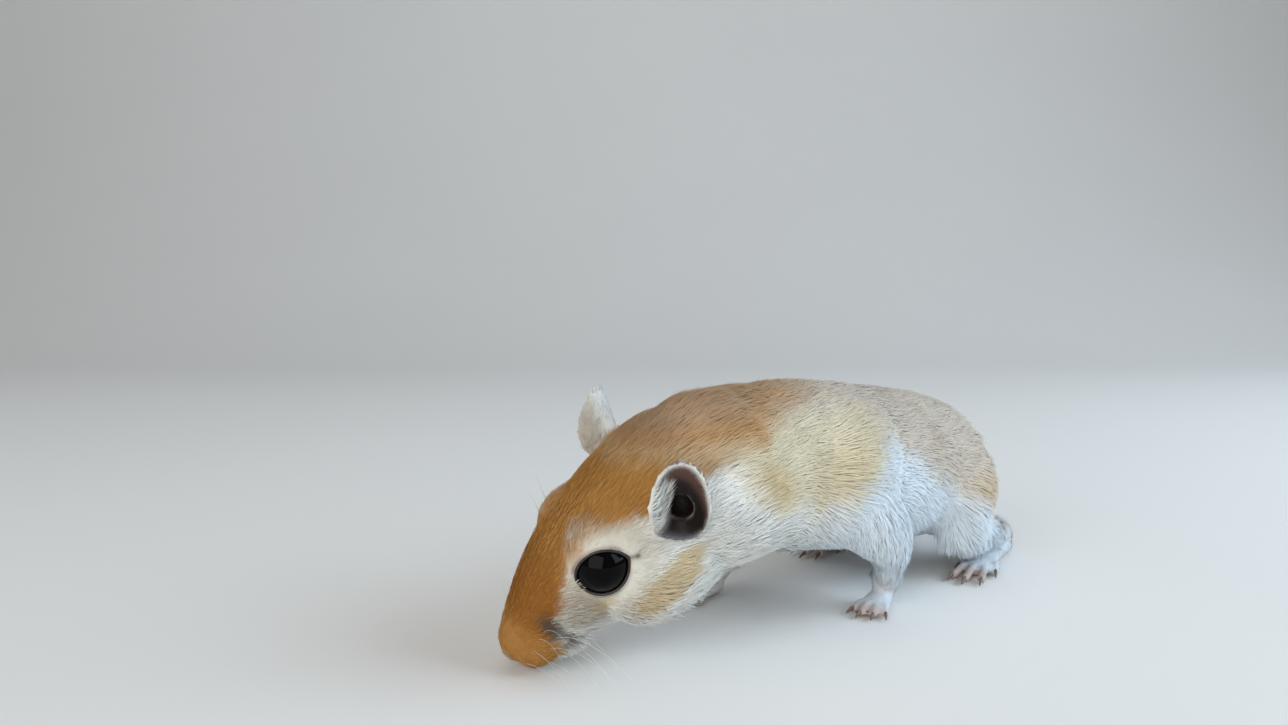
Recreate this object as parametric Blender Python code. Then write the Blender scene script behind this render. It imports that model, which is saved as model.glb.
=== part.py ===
"""A life-size Mongolian gerbil with a dark-eyed honey coat, as a still museum model.

It stretches forward with its nose low and its head turned to its right, and stands on four feet and its tail.
+Z is up, -Y is the way the trunk faces and +X is the animal's left side.
"""

import math
import random

import bmesh
import bpy
import numpy as np
from mathutils import Matrix, Vector
from mathutils.bvhtree import BVHTree

MM = 0.001
GAP = 0.3 * MM  # between nodes that meet

# Head: its own frame has -Y to the nose, +X to the left and +Z to the crown, and starts between the eyes.
HEAD_PLACE = Vector((-15.3, -52.2, 20.2)) * MM
HEAD_TURN = math.radians(-35)  # to the right
HEAD_DROP = math.radians(38)  # nose down
HEAD_ROLL = math.radians(15)  # left side down
EYE_RADIUS = 4.5 * MM
EYE_SPREAD = 7.4 * MM  # from the midline to an eyeball's centre
EYE_RISE = 0.4 * MM
LID_THICKNESS = 0.55 * MM
EYE_OPENING = (8.9 * MM, 7.1 * MM)  # length and height between the lids
EYE_SLANT = math.radians(-12)  # front corner lower than the rear one
EAR_PLACE = {1: (10.8, 12.3, -1.0), -1: (-10.4, 14.7, 1.2)}  # left and right, in millimetres
EAR_HEIGHT = 12.6 * MM
EAR_WIDTH = 9.2 * MM
EAR_DEPTH = 4.4 * MM  # of the cup at the sides of its rim
EAR_THICKNESS = 0.95 * MM
EAR_LEAN = 1.4 * MM  # how far the tip leans back
EAR_AXIS = {1: (0.34, 0.42, 0.84), -1: (-0.44, 0.22, 0.87)}  # from root to tip, left and right
EAR_MOUTH = {1: (0.88, -0.47, 0.0), -1: (-0.74, -0.67, 0.0)}  # where the cup opens to
EAR_EGG = 0.12  # how much wider the cup is above than below, as a share of its width
EAR_RINGS = (0.35, 0.65, 0.87, 1.0)  # of the cup, as shares of its rim
EAR_COLUMNS = 18
EAR_DEEPEST = 0.36  # height of the cup's deepest point, as a share of its height
EAR_CLEARANCE = 3.0 * MM  # in front of the rim

# Trunk, from inside the back of the head to the root of the tail:
# centre x, y, z, half width, rise above the centre and drop below it, in millimetres.
TRUNK = (
    (-9.5, -46.0, 25.0, 11.0, 11.5, 11.0),
    (-6.0, -36.0, 27.5, 14.6, 15.8, 14.5),
    (-3.5, -23.0, 28.5, 14.5, 16.5, 14.5),
    (-1.0, -8.0, 27.0, 14.5, 17.5, 15.0),
    (0.0, 8.0, 25.0, 14.0, 17.5, 16.0),
    (0.5, 24.0, 23.0, 15.5, 17.3, 16.0),
    (0.5, 39.0, 21.0, 16.5, 16.2, 15.0),
    (0.0, 51.0, 18.0, 12.5, 13.0, 12.0),
    (-1.0, 60.0, 14.0, 7.0, 8.0, 7.5),
    (-2.0, 65.0, 11.0, 4.0, 4.5, 4.5),
)
SHOULDER = ((8.0, -7.0, 28.0), (7.8, 16.0, 13.0))  # centre and radii on the left, mirrored for the right

# Head, along its own -Y: y, centre z, half width, rise and drop, in millimetres.
HEAD = (
    (-21.0, -5.6, 1.6, 1.4, 1.6),
    (-20.0, -5.6, 2.9, 2.6, 3.0),
    (-17.0, -5.0, 4.3, 4.2, 4.6),
    (-12.5, -3.9, 6.4, 5.8, 8.2),
    (-6.5, -2.4, 8.8, 7.8, 12.4),
    (0.0, -1.4, 10.4, 9.4, 15.0),
    (8.0, -0.6, 12.0, 10.4, 16.4),
    (16.0, -0.4, 12.8, 11.0, 16.2),
    (23.0, -0.5, 12.2, 10.0, 14.6),
    (30.0, -2.5, 11.5, 8.5, 11.0),
)

# Rounded forms that fill out the head: centre and radii in the head's frame, on the left where x isn't 0.
HEAD_FORMS = (
    ((3.4, -15.4, -6.8), (3.1, 4.6, 3.5)),  # whisker pad
    ((0.0, -12.0, -10.8), (3.6, 5.2, 2.7)),  # chin
    ((7.2, 6.5, -7.5), (6.4, 11.0, 8.8)),  # cheek
    ((6.4, 1.8, 3.6), (3.8, 6.0, 3.8)),  # brow
    ((8.8, 16.5, 2.4), (3.2, 3.6, 4.6)),  # root of the ear
)

# Limbs on the animal's left and right, from inside the trunk to the wrist or heel:
# centre x, y, z, half depth from front to back and half width, in millimetres.
LIMBS = {
    "leg_front_left": (
        (8.0, -9.0, 26.0, 5.0, 5.0),
        (10.8, -6.0, 21.0, 7.5, 6.5),
        (12.5, -0.3, 15.0, 6.0, 5.4),
        (11.8, 3.4, 9.5, 4.0, 3.7),
        (10.4, 4.9, 4.6, 2.6, 2.5),
        (10.0, 5.2, 2.6, 1.8, 1.8),
    ),
    "leg_front_right": (
        (-9.0, -15.0, 25.0, 5.0, 5.0),
        (-12.3, -11.0, 20.0, 7.3, 6.3),
        (-16.0, -4.8, 14.0, 5.8, 5.2),
        (-18.0, -5.0, 9.0, 3.9, 3.6),
        (-19.3, -8.4, 4.6, 2.6, 2.5),
        (-19.5, -9.4, 2.6, 1.8, 1.8),
    ),
    "leg_hind_left": (
        (8.0, 48.0, 22.0, 7.0, 6.0),
        (11.5, 40.0, 18.8, 11.0, 7.6),
        (14.3, 31.5, 13.6, 8.0, 6.4),
        (15.3, 35.5, 9.6, 5.4, 4.8),
        (15.5, 45.5, 7.4, 3.9, 3.7),
        (15.6, 54.5, 4.8, 2.9, 2.8),
    ),
    "leg_hind_right": (
        (-8.0, 44.0, 22.0, 7.0, 6.0),
        (-11.5, 36.0, 18.8, 11.0, 7.6),
        (-14.3, 27.5, 13.6, 8.0, 6.4),
        (-15.3, 31.5, 9.6, 5.4, 4.8),
        (-15.5, 41.5, 7.4, 3.9, 3.7),
        (-15.6, 50.5, 4.8, 2.9, 2.8),
    ),
}
REGION_MARGIN = 1.5 * MM  # how far a limb's cut lies outside its own form

HEAD_BACK = 21.0  # where the head is parted from the neck, on the head's own Y, in millimetres
HEAD_CUT = 18.0 * MM  # radius of the cut round the head
NECK_CUT = 22.0 * MM
NECK_BASE = (-3.2, -24.0, 29.0)  # where the neck is parted from the torso
NECK_AHEAD = (-0.20, -0.97, -0.10)

# Half of the mouth line from the middle to the corner, the parting of the upper lip, and the left nostril,
# in the head's frame and in millimetres. They are moved onto the surface.
MOUTH_LINE = [
    (0.0, -19.4, -9.6),
    (1.6, -18.4, -10.4),
    (3.2, -15.6, -10.8),
    (4.4, -12.2, -10.4),
    (5.2, -9.2, -9.4),
]
LIP_PARTING = [(0.0, -22.0, -6.8), (0.0, -21.0, -8.4), (0.0, -19.6, -9.6)]
MOUTH_DEPTH = 0.38 * MM
NOSTRIL = (1.3, -22.4, -5.4)
NOSTRIL_RADII = (0.5, 0.7, 0.45)
EAR_HOLLOW = {1: (0.5, 4.3, -0.7), -1: (0.4, 2.7, 0.2)}  # across the ear, up it and out of it
EAR_HOLLOW_RADII = (2.3, 2.4, 2.5)

# Tail, from inside the rump to the end of the flesh: centre x, y, z and radii, in millimetres.
TAIL = (
    (-0.6, 57.0, 14.0, 5.6, 5.6),
    (-2.2, 65.0, 9.6, 4.2, 4.2),
    (-4.2, 72.0, 6.2, 3.5, 3.5),
    (-8.0, 82.0, 3.5, 3.1, 3.1),
    (-15.0, 93.0, 2.75, 2.9, 2.9),
    (-25.0, 105.0, 2.6, 2.75, 2.75),
    (-36.0, 117.0, 2.5, 2.65, 2.65),
    (-47.0, 129.0, 2.6, 2.75, 2.75),
    (-54.0, 137.0, 2.8, 3.0, 3.0),
    (-58.5, 142.3, 2.4, 2.2, 2.5),
    (-61.5, 145.8, 2.1, 1.0, 1.6),
)
TAIL_CUT = 9.0 * MM
TAIL_CUTS = (
    ((-3.2, 69.0, 7.8), (0.26, -0.85, 0.45)),
    ((-16.0, 94.3, 2.8), (0.63, -0.77, 0.0)),
    ((-45.0, 126.8, 2.6), (0.68, -0.73, 0.0)),
)

# Brush of longer hair at the tail's end: locks in rings round the flesh, each at a place along the tail
# from where its last length starts, with the lock's length, in millimetres.
BRUSH_RINGS = ((5.0, 9.0), (9.5, 9.5), (14.0, 10.0), (18.0, 10.0), (21.5, 9.0))
LOCKS_IN_RING = 4
LOCK_WIDTH = 2.3
LOCK_THICKNESS = 0.9
LOCK_STAND = 0.9  # how far a lock's middle stands off the flesh

# Soles along the foot's own -Y from the wrist or heel: centre x, y, z, half width, rise and drop, in
# millimetres. Toes: root, spread in degrees and length.
SOLE_FRONT = (
    (0.0, 1.2, 2.2, 1.8, 1.6, 2.1),
    (0.0, -1.6, 1.9, 2.4, 1.8, 2.2),
    (0.0, -4.4, 1.5, 2.7, 1.5, 1.8),
    (0.0, -6.0, 1.3, 2.0, 1.0, 1.2),
)
TOES_FRONT = (
    ((-1.9, -4.6, 1.3), -22, 3.5),
    ((-0.7, -5.2, 1.4), -7, 4.2),
    ((0.7, -5.2, 1.4), 7, 4.1),
    ((1.9, -4.6, 1.3), 22, 3.3),
)
SOLE_HIND = (
    (0.0, 2.2, 2.2, 2.0, 1.8, 2.2),
    (0.0, -1.0, 2.2, 2.7, 2.0, 2.5),
    (0.0, -8.0, 2.0, 2.6, 1.8, 2.3),
    (0.0, -15.0, 1.8, 3.1, 1.6, 2.1),
    (0.0, -19.5, 1.5, 3.0, 1.3, 1.8),
    (0.0, -21.5, 1.3, 2.0, 0.9, 1.2),
)
TOES_HIND = (
    ((-2.6, -13.5, 1.3), -14, 5.2),
    ((-1.9, -19.4, 1.5), -9, 7.0),
    ((0.0, -20.0, 1.6), 0, 7.6),
    ((1.9, -19.4, 1.5), 9, 7.0),
    ((2.7, -14.5, 1.3), 16, 4.8),
)
PAWS = {
    "paw_front_left": {
        "limb": "leg_front_left", "place": (9.9, 5.4), "heading": 6, "side": 1, "cut": 4.0,
        "sole": SOLE_FRONT, "toes": TOES_FRONT, "toe": 0.85, "claw": 1.7,
    },
    "paw_front_right": {
        "limb": "leg_front_right", "place": (-19.5, -9.2), "heading": -8, "side": -1, "cut": 4.0,
        "sole": SOLE_FRONT, "toes": TOES_FRONT, "toe": 0.85, "claw": 1.7,
    },
    "foot_hind_left": {
        "limb": "leg_hind_left", "place": (15.6, 55.4), "heading": 4, "side": 1, "cut": 4.3,
        "sole": SOLE_HIND, "toes": TOES_HIND, "toe": 0.95, "claw": 2.3,
    },
    "foot_hind_right": {
        "limb": "leg_hind_right", "place": (-15.6, 51.4), "heading": -4, "side": -1, "cut": 4.3,
        "sole": SOLE_HIND, "toes": TOES_HIND, "toe": 0.95, "claw": 2.3,
    },
}

# Base colour and roughness of the nodes whose names start with these words.
LOOKS = (
    ("head", ((0.60, 0.36, 0.17), 0.8)),
    ("neck", ((0.62, 0.42, 0.24), 0.8)),
    ("torso", ((0.68, 0.56, 0.42), 0.8)),
    ("tail", ((0.55, 0.36, 0.20), 0.8)),
    ("leg", ((0.78, 0.76, 0.74), 0.8)),
    ("paw", ((0.72, 0.60, 0.56), 0.6)),
    ("foot", ((0.72, 0.60, 0.56), 0.6)),
    ("ear", ((0.46, 0.33, 0.29), 0.6)),
    ("eye", ((0.01, 0.008, 0.008), 0.08)),
)

VOXEL = 0.6 * MM
SMOOTH_STEPS = 9
FLESH_TRIANGLES = 4250


def vec(*numbers):
    return Vector(numbers) * MM


def head_matrix():
    turn = Matrix.Rotation(HEAD_TURN, 4, "Z")
    drop = Matrix.Rotation(HEAD_DROP, 4, "X")
    roll = Matrix.Rotation(HEAD_ROLL, 4, "Y")
    return Matrix.Translation(HEAD_PLACE) @ turn @ drop @ roll


def clear_scene():
    for obj in list(bpy.data.objects):
        bpy.data.objects.remove(obj)


def new_object(name, mesh):
    obj = bpy.data.objects.new(name, mesh)
    bpy.context.scene.collection.objects.link(obj)
    return obj


def mesh_of(points, faces, name="form"):
    mesh = bpy.data.meshes.new(name)
    mesh.from_pydata([tuple(p) for p in points], [], faces)
    bm = bmesh.new()
    bm.from_mesh(mesh)
    bmesh.ops.recalc_face_normals(bm, faces=bm.faces)
    if bm.calc_volume(signed=True) < 0:
        bmesh.ops.reverse_faces(bm, faces=bm.faces)
    bm.to_mesh(mesh)
    bm.free()
    return mesh


def smooth_rows(rows, steps):
    """Rows of numbers joined by a Catmull-Rom curve, with this many steps in each span."""
    table = np.array(rows, float)
    padded = np.vstack([2 * table[0] - table[1], table, 2 * table[-1] - table[-2]])
    made = []
    for k in range(len(table) - 1):
        a, b, c, d = padded[k : k + 4]
        for step in range(steps):
            t = step / steps
            bend = (2 * a - 5 * b + 4 * c - d) * t**2 + (3 * b - a - 3 * c + d) * t**3
            made.append(0.5 * (2 * b + (c - a) * t + bend))
    made.append(table[-1])
    return np.array(made)


def loft(rows, steps=4, sides=24, up=Vector((0, 0, 1)), grow=0.0, place=None):
    """A closed form through rows of centre x, y, z, half width, rise and sometimes drop, in millimetres."""
    table = smooth_rows(rows, steps)
    centres = [vec(*row[:3]) for row in table]
    points, faces = [], []
    for k, row in enumerate(table):
        ahead = centres[min(k + 1, len(table) - 1)] - centres[max(k - 1, 0)]
        side = up.cross(ahead).normalized()
        over = ahead.cross(side).normalized()
        width, rise, drop = (max(v, 0.2) * MM + grow for v in (row[3], row[4], row[-1]))
        for s in range(sides):
            a = 2 * math.pi * s / sides
            height = rise if math.sin(a) > 0 else drop
            points.append(centres[k] + side * width * math.cos(a) + over * height * math.sin(a))
        if k:
            base = (k - 1) * sides
            for s in range(sides):
                t = (s + 1) % sides
                faces.append((base + s, base + t, base + sides + t, base + sides + s))
    for ring, outward in ((0, -1), (len(table) - 1, 1)):
        ahead = (centres[ring] - centres[ring - outward]).normalized()
        bulge = min(table[ring][3:]) * MM * 0.5 + grow
        points.append(centres[ring] + ahead * bulge)
        tip = len(points) - 1
        for s in range(sides):
            t = (s + 1) % sides
            faces.append((tip, ring * sides + s, ring * sides + t))
    if place:
        points = [place @ p for p in points]
    return mesh_of(points, faces)


def ellipsoid(centre, radii, place=None, segments=24, rings=14):
    """Centre and radii in millimetres."""
    bm = bmesh.new()
    bmesh.ops.create_uvsphere(bm, u_segments=segments, v_segments=rings, radius=1.0)
    scale = Matrix.Diagonal([r * MM for r in radii] + [1.0])
    matrix = Matrix.Translation(vec(*centre)) @ scale
    bm.transform((place or Matrix.Identity(4)) @ matrix)
    mesh = bpy.data.meshes.new("form")
    bm.to_mesh(mesh)
    bm.free()
    return mesh


def mirrored(centre):
    """The places on both sides of the midline, or the one on it."""
    x, y, z = centre
    return [centre] if x == 0 else [centre, (-x, y, z)]


def evaluated(obj):
    """The object's mesh with its modifiers applied, and the object removed."""
    graph = bpy.context.evaluated_depsgraph_get()
    mesh = bpy.data.meshes.new_from_object(obj.evaluated_get(graph))
    bpy.data.objects.remove(obj)
    return mesh


def joined(meshes):
    bm = bmesh.new()
    for mesh in meshes:
        bm.from_mesh(mesh)
    mesh = bpy.data.meshes.new("joined")
    bm.to_mesh(mesh)
    bm.free()
    return mesh


def fused(meshes, voxel, steps, triangles):
    """Overlapping closed forms as one smooth skin."""
    obj = new_object("fusing", joined(meshes))
    remesh = obj.modifiers.new("skin", "REMESH")
    remesh.mode = "VOXEL"
    remesh.voxel_size = voxel
    smooth = obj.modifiers.new("soften", "SMOOTH")
    smooth.factor = 0.5
    smooth.iterations = steps
    mesh = evaluated(obj)
    obj = new_object("fusing", mesh)
    thin = obj.modifiers.new("thin", "DECIMATE")
    thin.ratio = triangles / (2 * len(mesh.polygons))
    thin.use_collapse_triangulate = True
    return evaluated(obj)


def largest_body(mesh):
    """The largest closed surface of a mesh, the others dropped."""
    bm = bmesh.new()
    bm.from_mesh(mesh)
    left, bodies = set(bm.faces), []
    while left:
        body, edge = set(), [left.pop()]
        while edge:
            face = edge.pop()
            body.add(face)
            for link in (e for loop in face.edges for e in loop.link_faces):
                if link in left:
                    left.discard(link)
                    edge.append(link)
        bodies.append(body)
    bodies.sort(key=lambda body: sum(face.calc_area() for face in body))
    drop = [face for body in bodies[:-1] for face in body]
    bmesh.ops.delete(bm, geom=drop, context="FACES")
    bm.to_mesh(mesh)
    bm.free()
    return mesh


def boolean(mesh, tools, operation):
    """Cuts or joins a mesh with one mesh or with several that don't need to be joined first."""
    tools = tools if isinstance(tools, list) else [tools]
    group = bpy.data.collections.new("tools")
    bpy.context.scene.collection.children.link(group)
    for tool in tools:
        group.objects.link(bpy.data.objects.new("tool", tool))
    obj = new_object("worked", mesh)
    step = obj.modifiers.new("work", "BOOLEAN")
    step.operation = operation
    step.operand_type = "COLLECTION"
    step.collection = group
    made = evaluated(obj)
    for tool in list(group.objects):
        bpy.data.objects.remove(tool)
    bpy.data.collections.remove(group)
    return made


def parted(mesh, region, wider):
    """What of a mesh lies inside a closed region, and what lies outside the wider one."""
    inside = boolean(mesh, region, "INTERSECT")
    outside = boolean(mesh.copy(), wider, "DIFFERENCE")
    return largest_body(inside), largest_body(outside)


def grown(mesh):
    """A mesh whose surface is moved out by the gap."""
    obj = new_object("grown", mesh.copy())
    swell = obj.modifiers.new("swell", "DISPLACE")
    swell.strength = GAP
    swell.mid_level = 0.0
    return evaluated(obj)


def drum(radius, length, place, grow=0.0):
    """A round bar of a radius and length in metres that starts at a place and runs along its -Y."""
    bm = bmesh.new()
    far = length + 2 * grow
    wide = radius + grow
    bmesh.ops.create_cone(bm, cap_ends=True, segments=32, radius1=wide, radius2=wide, depth=far)
    bm.transform(place @ Matrix.Translation((0, grow - far / 2, 0)) @ Matrix.Rotation(math.pi / 2, 4, "X"))
    mesh = bpy.data.meshes.new("form")
    bm.to_mesh(mesh)
    bm.free()
    return mesh


def both(region):
    """A region, and the same one wider by the gap."""
    return region(0.0), region(GAP)


def box(low, high, grow=0.0):
    """Corners in millimetres."""
    bm = bmesh.new()
    bmesh.ops.create_cube(bm, size=1.0)
    low, high = vec(*low), vec(*high)
    size = high - low + Vector((2, 2, 2)) * grow
    bm.transform(Matrix.Translation((low + high) / 2) @ Matrix.Diagonal([*size, 1.0]))
    mesh = bpy.data.meshes.new("form")
    bm.to_mesh(mesh)
    bm.free()
    return mesh


def frame_at(centre, ahead, up=Vector((0, 0, 1))):
    """A matrix at a place in metres whose -Y looks ahead."""
    back = -ahead.normalized()
    side = back.cross(up).normalized()
    return Matrix.Translation(centre) @ Matrix((side, back, side.cross(back))).transposed().to_4x4()


def limb(rows, grow=0.0):
    return loft(rows, up=Vector((1, 0, 0)), grow=grow)


def flesh():
    """Head, trunk and limbs as one skin, without toes, ears, eyes and tail."""
    head = head_matrix()
    forms = [loft(TRUNK), loft([(0.0, *row) for row in HEAD], place=head)]
    for centre, radii in HEAD_FORMS:
        forms += [ellipsoid(c, radii, head) for c in mirrored(centre)]
    forms += [ellipsoid(c, SHOULDER[1]) for c in mirrored(SHOULDER[0])]
    eye = [EYE_RADIUS / MM + 0.5] * 3
    forms += [ellipsoid(c, eye, head) for c in mirrored(eye_place())]
    forms += [limb(rows) for rows in LIMBS.values()]
    forms.append(loft(TAIL[:4], steps=3))
    return fused(forms, VOXEL, SMOOTH_STEPS, FLESH_TRIANGLES)


def eye_place():
    return (EYE_SPREAD / MM, 0.0, EYE_RISE / MM)


def eye_frame(side):
    """A matrix at an eyeball's centre whose +X looks out of the head, with +Y to its rear corner."""
    out = Vector((side * 0.93, -0.28, 0.22)).normalized()
    rear = Vector((0, 1, 0)) - out * out.y
    rear = Matrix.Rotation(side * EYE_SLANT, 3, out) @ rear.normalized()
    x, y, z = eye_place()
    turn = Matrix((out, rear, out.cross(rear))).transposed().to_4x4()
    return head_matrix() @ Matrix.Translation(vec(side * x, y, z)) @ turn


def almond(side):
    """The opening between the lids, as a form that runs out of the eyeball's centre."""
    half_length, half_height = EYE_OPENING[0] / 2, EYE_OPENING[1] / 2
    points, count = [], 20
    for depth in (1.0 * MM, 9.0 * MM):
        for k in range(count):
            a = 2 * math.pi * k / count
            lift = math.copysign(abs(math.sin(a)) ** 1.2, math.sin(a))
            points.append((depth, half_length * math.cos(a), half_height * lift))
    faces = [tuple(range(count)), tuple(range(2 * count - 1, count - 1, -1))]
    for k in range(count):
        n = (k + 1) % count
        faces.append((k, n, count + n, count + k))
    frame = eye_frame(side)
    return mesh_of([frame @ Vector(p) for p in points], faces)


def on_surface(tree, places):
    """Places in the head's frame, in millimetres, moved onto the surface."""
    head = head_matrix()
    return [tree.find_nearest(head @ vec(*p))[0] for p in places]


def tube(points, radius, sides=5):
    """A thin form of one radius through points in metres, for a groove."""
    rows = [(*(p / MM), radius / MM, radius / MM) for p in points]
    return loft(rows, steps=1, sides=sides)


def face_of(head):
    """Lids, mouth line, lips' parting and nostrils worked into the head."""
    bm = bmesh.new()
    bm.from_mesh(head)
    tree = BVHTree.FromBMesh(bm)
    bm.free()
    place = head_matrix()
    lid = EYE_RADIUS / MM + GAP / MM + LID_THICKNESS / MM
    socket = EYE_RADIUS / MM + GAP / MM
    eyes = mirrored(eye_place())
    head = boolean(head, [ellipsoid(c, [lid] * 3, place, segments=20, rings=12) for c in eyes], "UNION")
    half = MOUTH_LINE[::-1] + [(-x, y, z) for x, y, z in MOUTH_LINE[1:]]
    cuts = [tube(on_surface(tree, half), MOUTH_DEPTH)]
    cuts.append(tube(on_surface(tree, LIP_PARTING), MOUTH_DEPTH * 0.8))
    for spot in on_surface(tree, mirrored(NOSTRIL)):
        cuts.append(ellipsoid(spot / MM, NOSTRIL_RADII, segments=10, rings=6))
    cuts += ear_room(1) + ear_room(-1)
    cuts += [ellipsoid(c, [socket] * 3, place, segments=18, rings=11) for c in eyes]
    cuts += [almond(side) for side in (1, -1)]
    for cut in cuts:
        head = boolean(head, cut, "DIFFERENCE")
    return largest_body(head)


def ear_frame(side):
    """A matrix at an ear's root whose axes run across the ear, up it and out of its mouth."""
    axis = Vector(EAR_AXIS[side]).normalized()
    mouth = Vector(EAR_MOUTH[side])
    mouth = (mouth - axis * mouth.dot(axis)).normalized()
    turn = Matrix((axis.cross(mouth), axis, mouth)).transposed().to_4x4()
    return head_matrix() @ Matrix.Translation(vec(*EAR_PLACE[side])) @ turn


def cup_ring(share, grow=0.0):
    """One ring of the cup between its deepest point, at 0, and its rim, at 1."""
    ring = []
    for k in range(EAR_COLUMNS):
        angle = 2 * math.pi * k / EAR_COLUMNS
        t = 0.5 + 0.5 * math.cos(angle)
        rise = EAR_DEPTH * (1 - t**4) * (0.75 + 0.25 * math.sin(math.pi * t))
        round_off = math.copysign(abs(math.sin(angle)) ** 0.85, math.sin(angle))
        across = (EAR_WIDTH / 2 + grow) * share * round_off * (1 + EAR_EGG * math.cos(angle))
        middle = EAR_HEIGHT * (EAR_DEEPEST + (0.5 - EAR_DEEPEST) * share)
        up = middle + (EAR_HEIGHT / 2 + grow) * share * math.cos(angle)
        ring.append(Vector((across, up, rise * share**2.4 - EAR_LEAN * (up / EAR_HEIGHT) ** 2 - grow)))
    return ring


def ringed(rings, ends, place):
    """Points and faces of a surface through rings, closed at one or both ends by a point."""
    points = [place @ p for ring in rings for p in ring]
    wide = len(rings[0])
    faces = []
    for i in range(len(rings) - 1):
        for j in range(wide):
            a, b = i * wide + j, i * wide + (j + 1) % wide
            faces.append((a, b, b + wide, a + wide))
    for end, first in zip(ends, (0, (len(rings) - 1) * wide)):
        points.append(place @ end)
        for j in range(wide):
            a, b = first + j, first + (j + 1) % wide
            faces.append((b, a, len(points) - 1) if first == 0 else (a, b, len(points) - 1))
    return points, faces


def cup_form(side, grow=0.0):
    """All that lies before the cup's back, moved back by an amount, to past its rim, as a closed form."""
    rings = [cup_ring(share, grow) for share in EAR_RINGS]
    rings.append([p + Vector((0, 0, EAR_CLEARANCE)) for p in rings[-1]])
    front = Vector((0, EAR_HEIGHT / 2, EAR_DEPTH + EAR_CLEARANCE))
    return mesh_of(*ringed(rings, [deepest_point(grow), front], ear_frame(side)))


def deepest_point(grow=0.0):
    return Vector((0, EAR_HEIGHT * EAR_DEEPEST, -EAR_LEAN * EAR_DEEPEST**2 - grow))


def ear_base(side, grow=0.0):
    """The thick base round an ear's hollow; without growth it is the hollow itself."""
    radii = [r + grow / MM for r in EAR_HOLLOW_RADII]
    return ellipsoid(EAR_HOLLOW[side], radii, ear_frame(side), segments=12, rings=7)


def ear(side):
    """A cupped shell, open outwards and forwards, with a hollow base that is let into the head."""
    points, faces = ringed([cup_ring(share) for share in EAR_RINGS], [deepest_point()], ear_frame(side))
    mesh = bpy.data.meshes.new("ear")
    mesh.from_pydata([tuple(p) for p in points], [], faces)
    obj = new_object("shell", mesh)
    shell = obj.modifiers.new("shell", "SOLIDIFY")
    shell.thickness = EAR_THICKNESS
    shell.offset = 0.0
    mesh = evaluated(obj)
    bm = bmesh.new()
    bm.from_mesh(mesh)
    bmesh.ops.recalc_face_normals(bm, faces=bm.faces)
    bmesh.ops.triangulate(bm, faces=bm.faces)
    bm.to_mesh(mesh)
    bm.free()
    base = boolean(ear_base(side, EAR_THICKNESS), cup_form(side), "DIFFERENCE")
    return largest_body(boolean(boolean(mesh, base, "UNION"), ear_base(side), "DIFFERENCE"))


def ear_room(side):
    """What the head leaves free for an ear."""
    return [cup_form(side, EAR_THICKNESS / 2 + GAP), ear_base(side, EAR_THICKNESS + GAP)]


def digit(root, heading, length, radius, claw, place):
    """A toe that arches from the paw to the floor, and its claw, both as closed forms."""
    ahead = Vector((math.sin(heading), -math.cos(heading), 0))
    start = Vector(root)
    spots = (
        (0.0, 0.0, 1.05),
        (0.30, 0.30, 1.0),
        (0.62, 0.10, 0.92),
        (0.90, -0.55, 0.85),
        (1.0, -0.75, 0.62),
    )
    rows = []
    floor = radius * 0.80
    for along, lift, thick in spots:
        p = start + ahead * length * along
        p.z = max(start.z + lift, floor)
        rows.append((*p, radius * thick, radius * thick))
    toe = loft(rows, steps=1, sides=6, place=place)
    tip = start + ahead * length * 0.93
    nail = []
    for along, drop, thick in ((0.0, 0.0, 0.55), (0.45, 0.02, 0.42), (0.8, 0.25, 0.26), (1.0, 0.5, 0.12)):
        p = tip + ahead * claw * along
        p.z = max(floor + radius * 0.35 - claw * drop * 0.5, radius * thick * 0.9 + 0.05)
        nail.append((*p, radius * thick, radius * thick * 1.25))
    return [toe, loft(nail, steps=1, sides=5, place=place)]


def paw(spec, stub):
    """A paw or foot under the limb's end: its sole, toes and claws joined to the stub of the limb."""
    (x, y), heading, side = spec["place"], spec["heading"], spec["side"]
    place = Matrix.Translation(vec(x, y, 0)) @ Matrix.Rotation(math.radians(heading), 4, "Z")
    forms = [loft(spec["sole"], steps=1, sides=14, place=place)]
    for (tx, ty, tz), spread, length in spec["toes"]:
        start = (side * tx, ty, tz)
        forms += digit(start, math.radians(side * spread), length, spec["toe"], spec["claw"], place)
    made = boolean(stub, forms, "UNION")
    return on_floor(made)


def on_floor(mesh):
    """A small flat at floor level where a form would sink in."""
    return largest_body(boolean(mesh, box((-120, -120, -20), (120, 220, 0)), "DIFFERENCE"))


def lock(rows, root, out, length):
    """A flat tapered lock of hair that leaves the flesh at a place along the tail and lies back along it."""
    spots = ((-0.10, -0.9, 0.7), (0.25, 0.3, 1.0), (0.60, 0.75, 0.85), (1.0, 0.55, 0.3))
    points, faces = [], []
    for along, stand, wide in spots:
        centre, ahead, radius = tail_at(rows, root + length * along)
        side = ahead.cross(out).normalized()
        over = side.cross(ahead)
        middle = centre + over * (radius + stand * LOCK_STAND * MM)
        half_width = side * LOCK_WIDTH * MM / 2 * wide
        half_thick = over * LOCK_THICKNESS * MM / 2 * (0.4 + 0.6 * wide)
        points += [middle - half_width, middle - half_thick, middle + half_width, middle + half_thick]
    for k in range(len(spots) - 1):
        for s in range(4):
            t = (s + 1) % 4
            faces.append((4 * k + s, 4 * k + t, 4 * k + 4 + t, 4 * k + 4 + s))
    last = len(points) - 4
    faces += [(0, 1, 2, 3), tuple(range(last, last + 4))]
    return mesh_of(points, faces)


def tail_at(rows, reach):
    """The centre, direction and radius of the tail at a reach in millimetres along it, also past its end."""
    for a, b in zip(rows, rows[1:]):
        step = vec(*(b[:3] - a[:3]))
        t = reach / (step.length / MM)
        if t < 1:
            break
        reach -= step.length / MM
    radius = a[3] + (b[3] - a[3]) * min(t, 1.0)
    return vec(*a[:3]) + step * t, step.normalized(), max(radius, 0.3) * MM


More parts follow.
